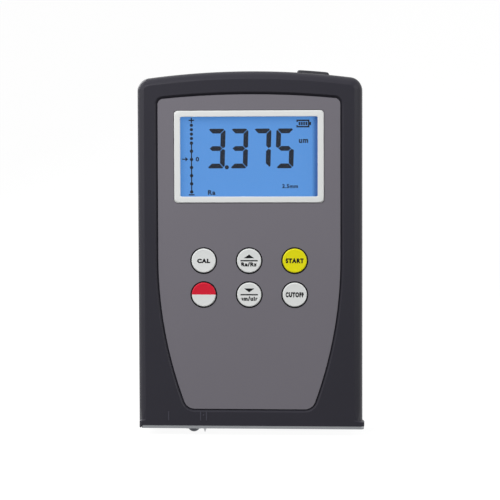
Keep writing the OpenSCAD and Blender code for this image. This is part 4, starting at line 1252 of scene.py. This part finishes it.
@dataclass
class Drive:
    """Base plate and lead screw."""

    plate_round: float = 0.15 * MM
    plain_ends: Point = (3.4 * MM, 8.4 * MM)
    end_round: float = 0.2 * MM
    run_out: float = 0.6 * MM
    thread_pitch: float = 1.0 * MM
    thread_depth: float = 0.28 * MM
    thread_half: float = 0.8
    thread_steps: int = 28

    def build(self) -> None:
        """Makes the pieces that need more than the frame's own mesh."""
        bm = merged_copy("base_plate")
        low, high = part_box("base_plate")
        soften(bm, self.plate_round, lambda e: all(
            min(abs(v.co.z - low.z), abs(v.co.z - high.z)) < MERGE for v in e.verts) and any(
            abs(f.normal.z) < 1 - FACING for f in e.link_faces), 2)
        strip = piece_from(bm, "base_plate_strip", [GROUND_ALUMINIUM])
        hand_over(strip, Body.HOUSING, Slot.ALUMINIUM, "base_plate")
        self.screw()

    def screw(self) -> None:
        """Makes the lead screw: a turned core and a thread that follows a helix."""
        low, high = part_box("lead_screw")
        middle, radius = (low + high) / 2, (high.z - low.z) / 2
        core_r, nose = radius - self.thread_depth, self.end_round
        start, end = low.x + self.plain_ends[0], high.x - self.plain_ends[1]
        along = Matrix.Translation((0, middle.y, middle.z)) @ Matrix.Rotation(QUARTER, 4, "Y")
        profile = [(0.0, low.x), (radius - nose, low.x), (radius, low.x + nose), (radius, start - self.run_out),
                   (core_r, start), (core_r, end), (radius, end + self.run_out), (radius, high.x - nose),
                   (radius - nose, high.x), (0.0, high.x)]
        bm = bmesh.new()
        lathe(bm, profile, along, 40)
        core = piece_from(bm, "lead_screw_core", [TURNED_STEEL])
        hand_over(core, Body.SCREW, Slot.STEEL, "lead_screw")
        form = NodeForm("screw_thread", {"Turns": "NodeSocketFloat", "Length": "NodeSocketFloat",
                                         "Radius": "NodeSocketFloat", "Depth": "NodeSocketFloat",
                                         "Place": "NodeSocketVector"})
        helix = form.add("GeometryNodeCurveSpiral", {
            "Resolution": self.thread_steps, "Rotations": form.inputs["Turns"], "Start Radius": form.inputs["Radius"],
            "End Radius": form.inputs["Radius"], "Height": form.inputs["Length"]})
        section = form.add("GeometryNodeCurvePrimitiveCircle", {"Resolution": 4, "Radius": form.inputs["Depth"]},
                           mode="RADIUS")
        swept = form.add("GeometryNodeCurveToMesh", {
            "Curve": helix.outputs[0], "Profile Curve": section.outputs[0], "Fill Caps": True})
        placed = form.add("GeometryNodeTransform", {
            "Geometry": swept.outputs[0], "Translation": form.inputs["Place"], "Rotation": (0, QUARTER, 0)})
        form.close(placed.outputs[0])
        length = end - start
        half = self.thread_depth * self.thread_half
        thread = form.bake("lead_screw_thread", TURNED_STEEL, Turns=length / self.thread_pitch, Length=length,
                           Radius=radius - half, Depth=half, Place=(start, middle.y, middle.z))
        hand_over(thread, Body.SCREW, Slot.STEEL)


@dataclass
class CarriedNodes:
    """Frame nodes whose own shape is right and that only get a finish."""

    finishes: dict[str, Finish] = field(default_factory=lambda: {
        "lcd_cell": LIT_CELL, "backlight": FROSTED_GUIDE, "main_board": SOLDER_MASK, "board_chips": EPOXY,
        "tact_switches": EPOXY, "drive_bracket": MILLED_ALUMINIUM, "gear_motor": TURNED_STEEL,
        "guide_rod": TURNED_STEEL, "screw_bushes": TURNED_BRASS, "carriage": MILLED_ALUMINIUM,
        "pickup_pin": TURNED_STEEL, "pickup_body": MILLED_ALUMINIUM, "skid": HARD_STEEL, "stylus_pin": TURNED_STEEL,
        "stylus_arm": TURNED_STEEL, "contact_plates": TURNED_STEEL, "contact_springs": TURNED_STEEL,
        "data_socket": TURNED_STEEL, **{f"battery_cell_{k}": CELL_WRAP for k in range(1, 5)}})

    def build(self) -> None:
        """Gives each node its finish."""
        for node, finish in self.finishes.items():
            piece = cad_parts[node]
            piece.data.materials.clear()
            piece.data.materials.append(finish.material())
            LOG.info("%s: finish %s", node, finish.name)


@dataclass(frozen=True)
class Lamp:
    """A soft square lamp that looks at the object.

    Attributes:
        name: Name of the lamp.
        place: Where it stands, in metres.
        size: Its side in metres.
        power: Its power in watts.
    """

    name: str
    place: tuple[float, float, float]
    size: float
    power: float

    def build(self, target: Vector) -> None:
        """Adds the lamp to the scene.

        Args:
            target: The point that it looks at.
        """
        data = bpy.data.lights.new(self.name, "AREA")
        data.shape, data.size, data.energy = "SQUARE", self.size, self.power
        way = target - Vector(self.place)
        turn = way.to_track_quat("-Z", "Y").to_matrix().to_4x4()
        new_object(self.name, data).matrix_world = Matrix.Translation(self.place) @ turn


@dataclass
class Studio:
    """Camera, light, floor and backdrop."""

    target: Vector = field(default_factory=lambda: Vector((-0.7, 0.0, 63.11)) * MM)
    distance: float = 0.7
    azimuth_deg: float = 3.982
    elevation_deg: float = 3.09
    roll_deg: float = -0.19
    sensor: float = 36.0
    lens: float = 138.95
    floor_z: float = -2.66 * MM
    ambient: float = 0.3
    card: str = "#505050"
    seen_card: str = "#6a6a6a"
    card_glow: float = 0.93
    half_width: float = 2.5
    front_y: float = -2.0
    bend_y: float = 0.9
    bend_r: float = 0.4
    top_z: float = 2.0
    lamps: tuple[Lamp, ...] = (
        Lamp("key_light", (-0.2, -0.37, 0.46), 0.35, 2.4),
        Lamp("front_light", (-0.32, -0.6, 0.34), 0.25, 0.72),
        Lamp("fill_light", (0.65, -0.22, 0.3), 0.5, 2.6),
        Lamp("side_light", (-0.65, -0.2, 0.3), 0.5, 2.1),
        Lamp("rear_light", (-0.55, 0.7, 0.5), 0.5, 5.0),
        Lamp("top_light", (0.0, 0.05, 0.8), 0.6, 0.5))

    def build(self) -> None:
        """Sets the whole scene round the object."""
        bpy.context.scene.view_settings.view_transform = "Standard"
        self.camera()
        self.world()
        self.stage()
        for lamp in self.lamps:
            lamp.build(self.target)

    def camera(self) -> None:
        """Places the camera at the photograph's viewing angle."""
        az, el, roll = (math.radians(v) for v in (self.azimuth_deg, self.elevation_deg, self.roll_deg))
        look = Vector((-math.sin(az) * math.cos(el), math.cos(az) * math.cos(el), -math.sin(el)))
        right = Vector((math.cos(az), math.sin(az), 0))
        up = right.cross(look)
        right, up = (right * math.cos(roll) + up * math.sin(roll), up * math.cos(roll) - right * math.sin(roll))
        data = bpy.data.cameras.new("camera")
        data.sensor_fit, data.sensor_width, data.lens = "HORIZONTAL", self.sensor, self.lens
        data.clip_start, data.clip_end = 0.01, 50
        camera = new_object("camera", data)
        turn = Matrix((right, up, -look)).transposed().to_4x4()
        camera.matrix_world = Matrix.Translation(self.target - look * self.distance) @ turn
        bpy.context.scene.camera = camera

    def seen(self, tree: Tree) -> Socket:
        """Tells the rays that look at the background from those that light the object.

        Args:
            tree: A tree of the background.

        Returns:
            A socket that is 1 for a camera, glossy or transmission ray.
        """
        path = add_node(tree, "ShaderNodeLightPath").outputs
        share = path["Is Camera Ray"]
        for ray in ("Is Glossy Ray", "Is Transmission Ray"):
            share = add_node(tree, "ShaderNodeMath", {0: share, 1: path[ray]}, operation="MAXIMUM").outputs[0]
        return share

    def world(self) -> None:
        """Lights the object evenly from a pale room that looks white."""
        world = bpy.data.worlds.new("pale_room")
        bpy.context.scene.world = world
        world.use_nodes = True
        tree = world.node_tree
        tree.nodes.clear()
        light = add_node(tree, "ShaderNodeBackground", {"Color": linear(WHITE), "Strength": self.ambient})
        white = add_node(tree, "ShaderNodeBackground", {"Color": linear(WHITE), "Strength": 1.0})
        both = add_node(tree, "ShaderNodeMixShader", {0: self.seen(tree), 1: light.outputs[0], 2: white.outputs[0]})
        add_node(tree, "ShaderNodeOutputWorld", {"Surface": both.outputs[0]})

    def stage(self) -> None:
        """Makes the floor that bends up into a backdrop, in white card that keeps the shadow."""
        material = bpy.data.materials.new("card_white")
        material.use_nodes = True
        tree = material.node_tree
        tree.nodes.clear()
        card = add_node(tree, "ShaderNodeBsdfDiffuse", {"Color": linear(self.card)})
        shadow = add_node(tree, "ShaderNodeBsdfDiffuse", {"Color": linear(self.seen_card)})
        glow = add_node(tree, "ShaderNodeEmission", {"Color": linear(WHITE), "Strength": self.card_glow})
        white = add_node(tree, "ShaderNodeAddShader", {0: shadow.outputs[0], 1: glow.outputs[0]})
        both = add_node(tree, "ShaderNodeMixShader", {0: self.seen(tree), 1: card.outputs[0], 2: white.outputs[0]})
        add_node(tree, "ShaderNodeOutputMaterial", {"Surface": both.outputs[0]})
        bend = [(self.front_y, 0.0), (self.bend_y - self.bend_r, 0.0)]
        bend += arc((self.bend_y, self.bend_r), self.bend_r, -90, 0, 12)
        bend += [(self.bend_y + self.bend_r, self.top_z)]
        wide = (-self.half_width, self.half_width)
        bm = bmesh.new()
        rows = [[bm.verts.new((x, y, self.floor_z + z)) for x in wide] for y, z in bend]
        for one, two in zip(rows, rows[1:]):
            bm.faces.new((one[0], one[1], two[1], two[0]))
        mesh = bpy.data.meshes.new("studio_sweep")
        bm.to_mesh(mesh)
        bm.free()
        mesh.materials.append(material)
        mesh.polygons.foreach_set("use_smooth", [True] * len(mesh.polygons))
        new_object("studio_sweep", mesh)


def main() -> None:
    """Builds the sub-assemblies in order, then the studio."""
    logging.basicConfig(level=logging.INFO, format="%(name)s: %(message)s")
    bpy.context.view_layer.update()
    for part in (Housing(), Display(), Keypad(), Fasteners(), Drive(), CarriedNodes(), Studio()):
        LOG.info("building %s", type(part).__name__)
        part.build()


if __name__ == "__main__":
    main()
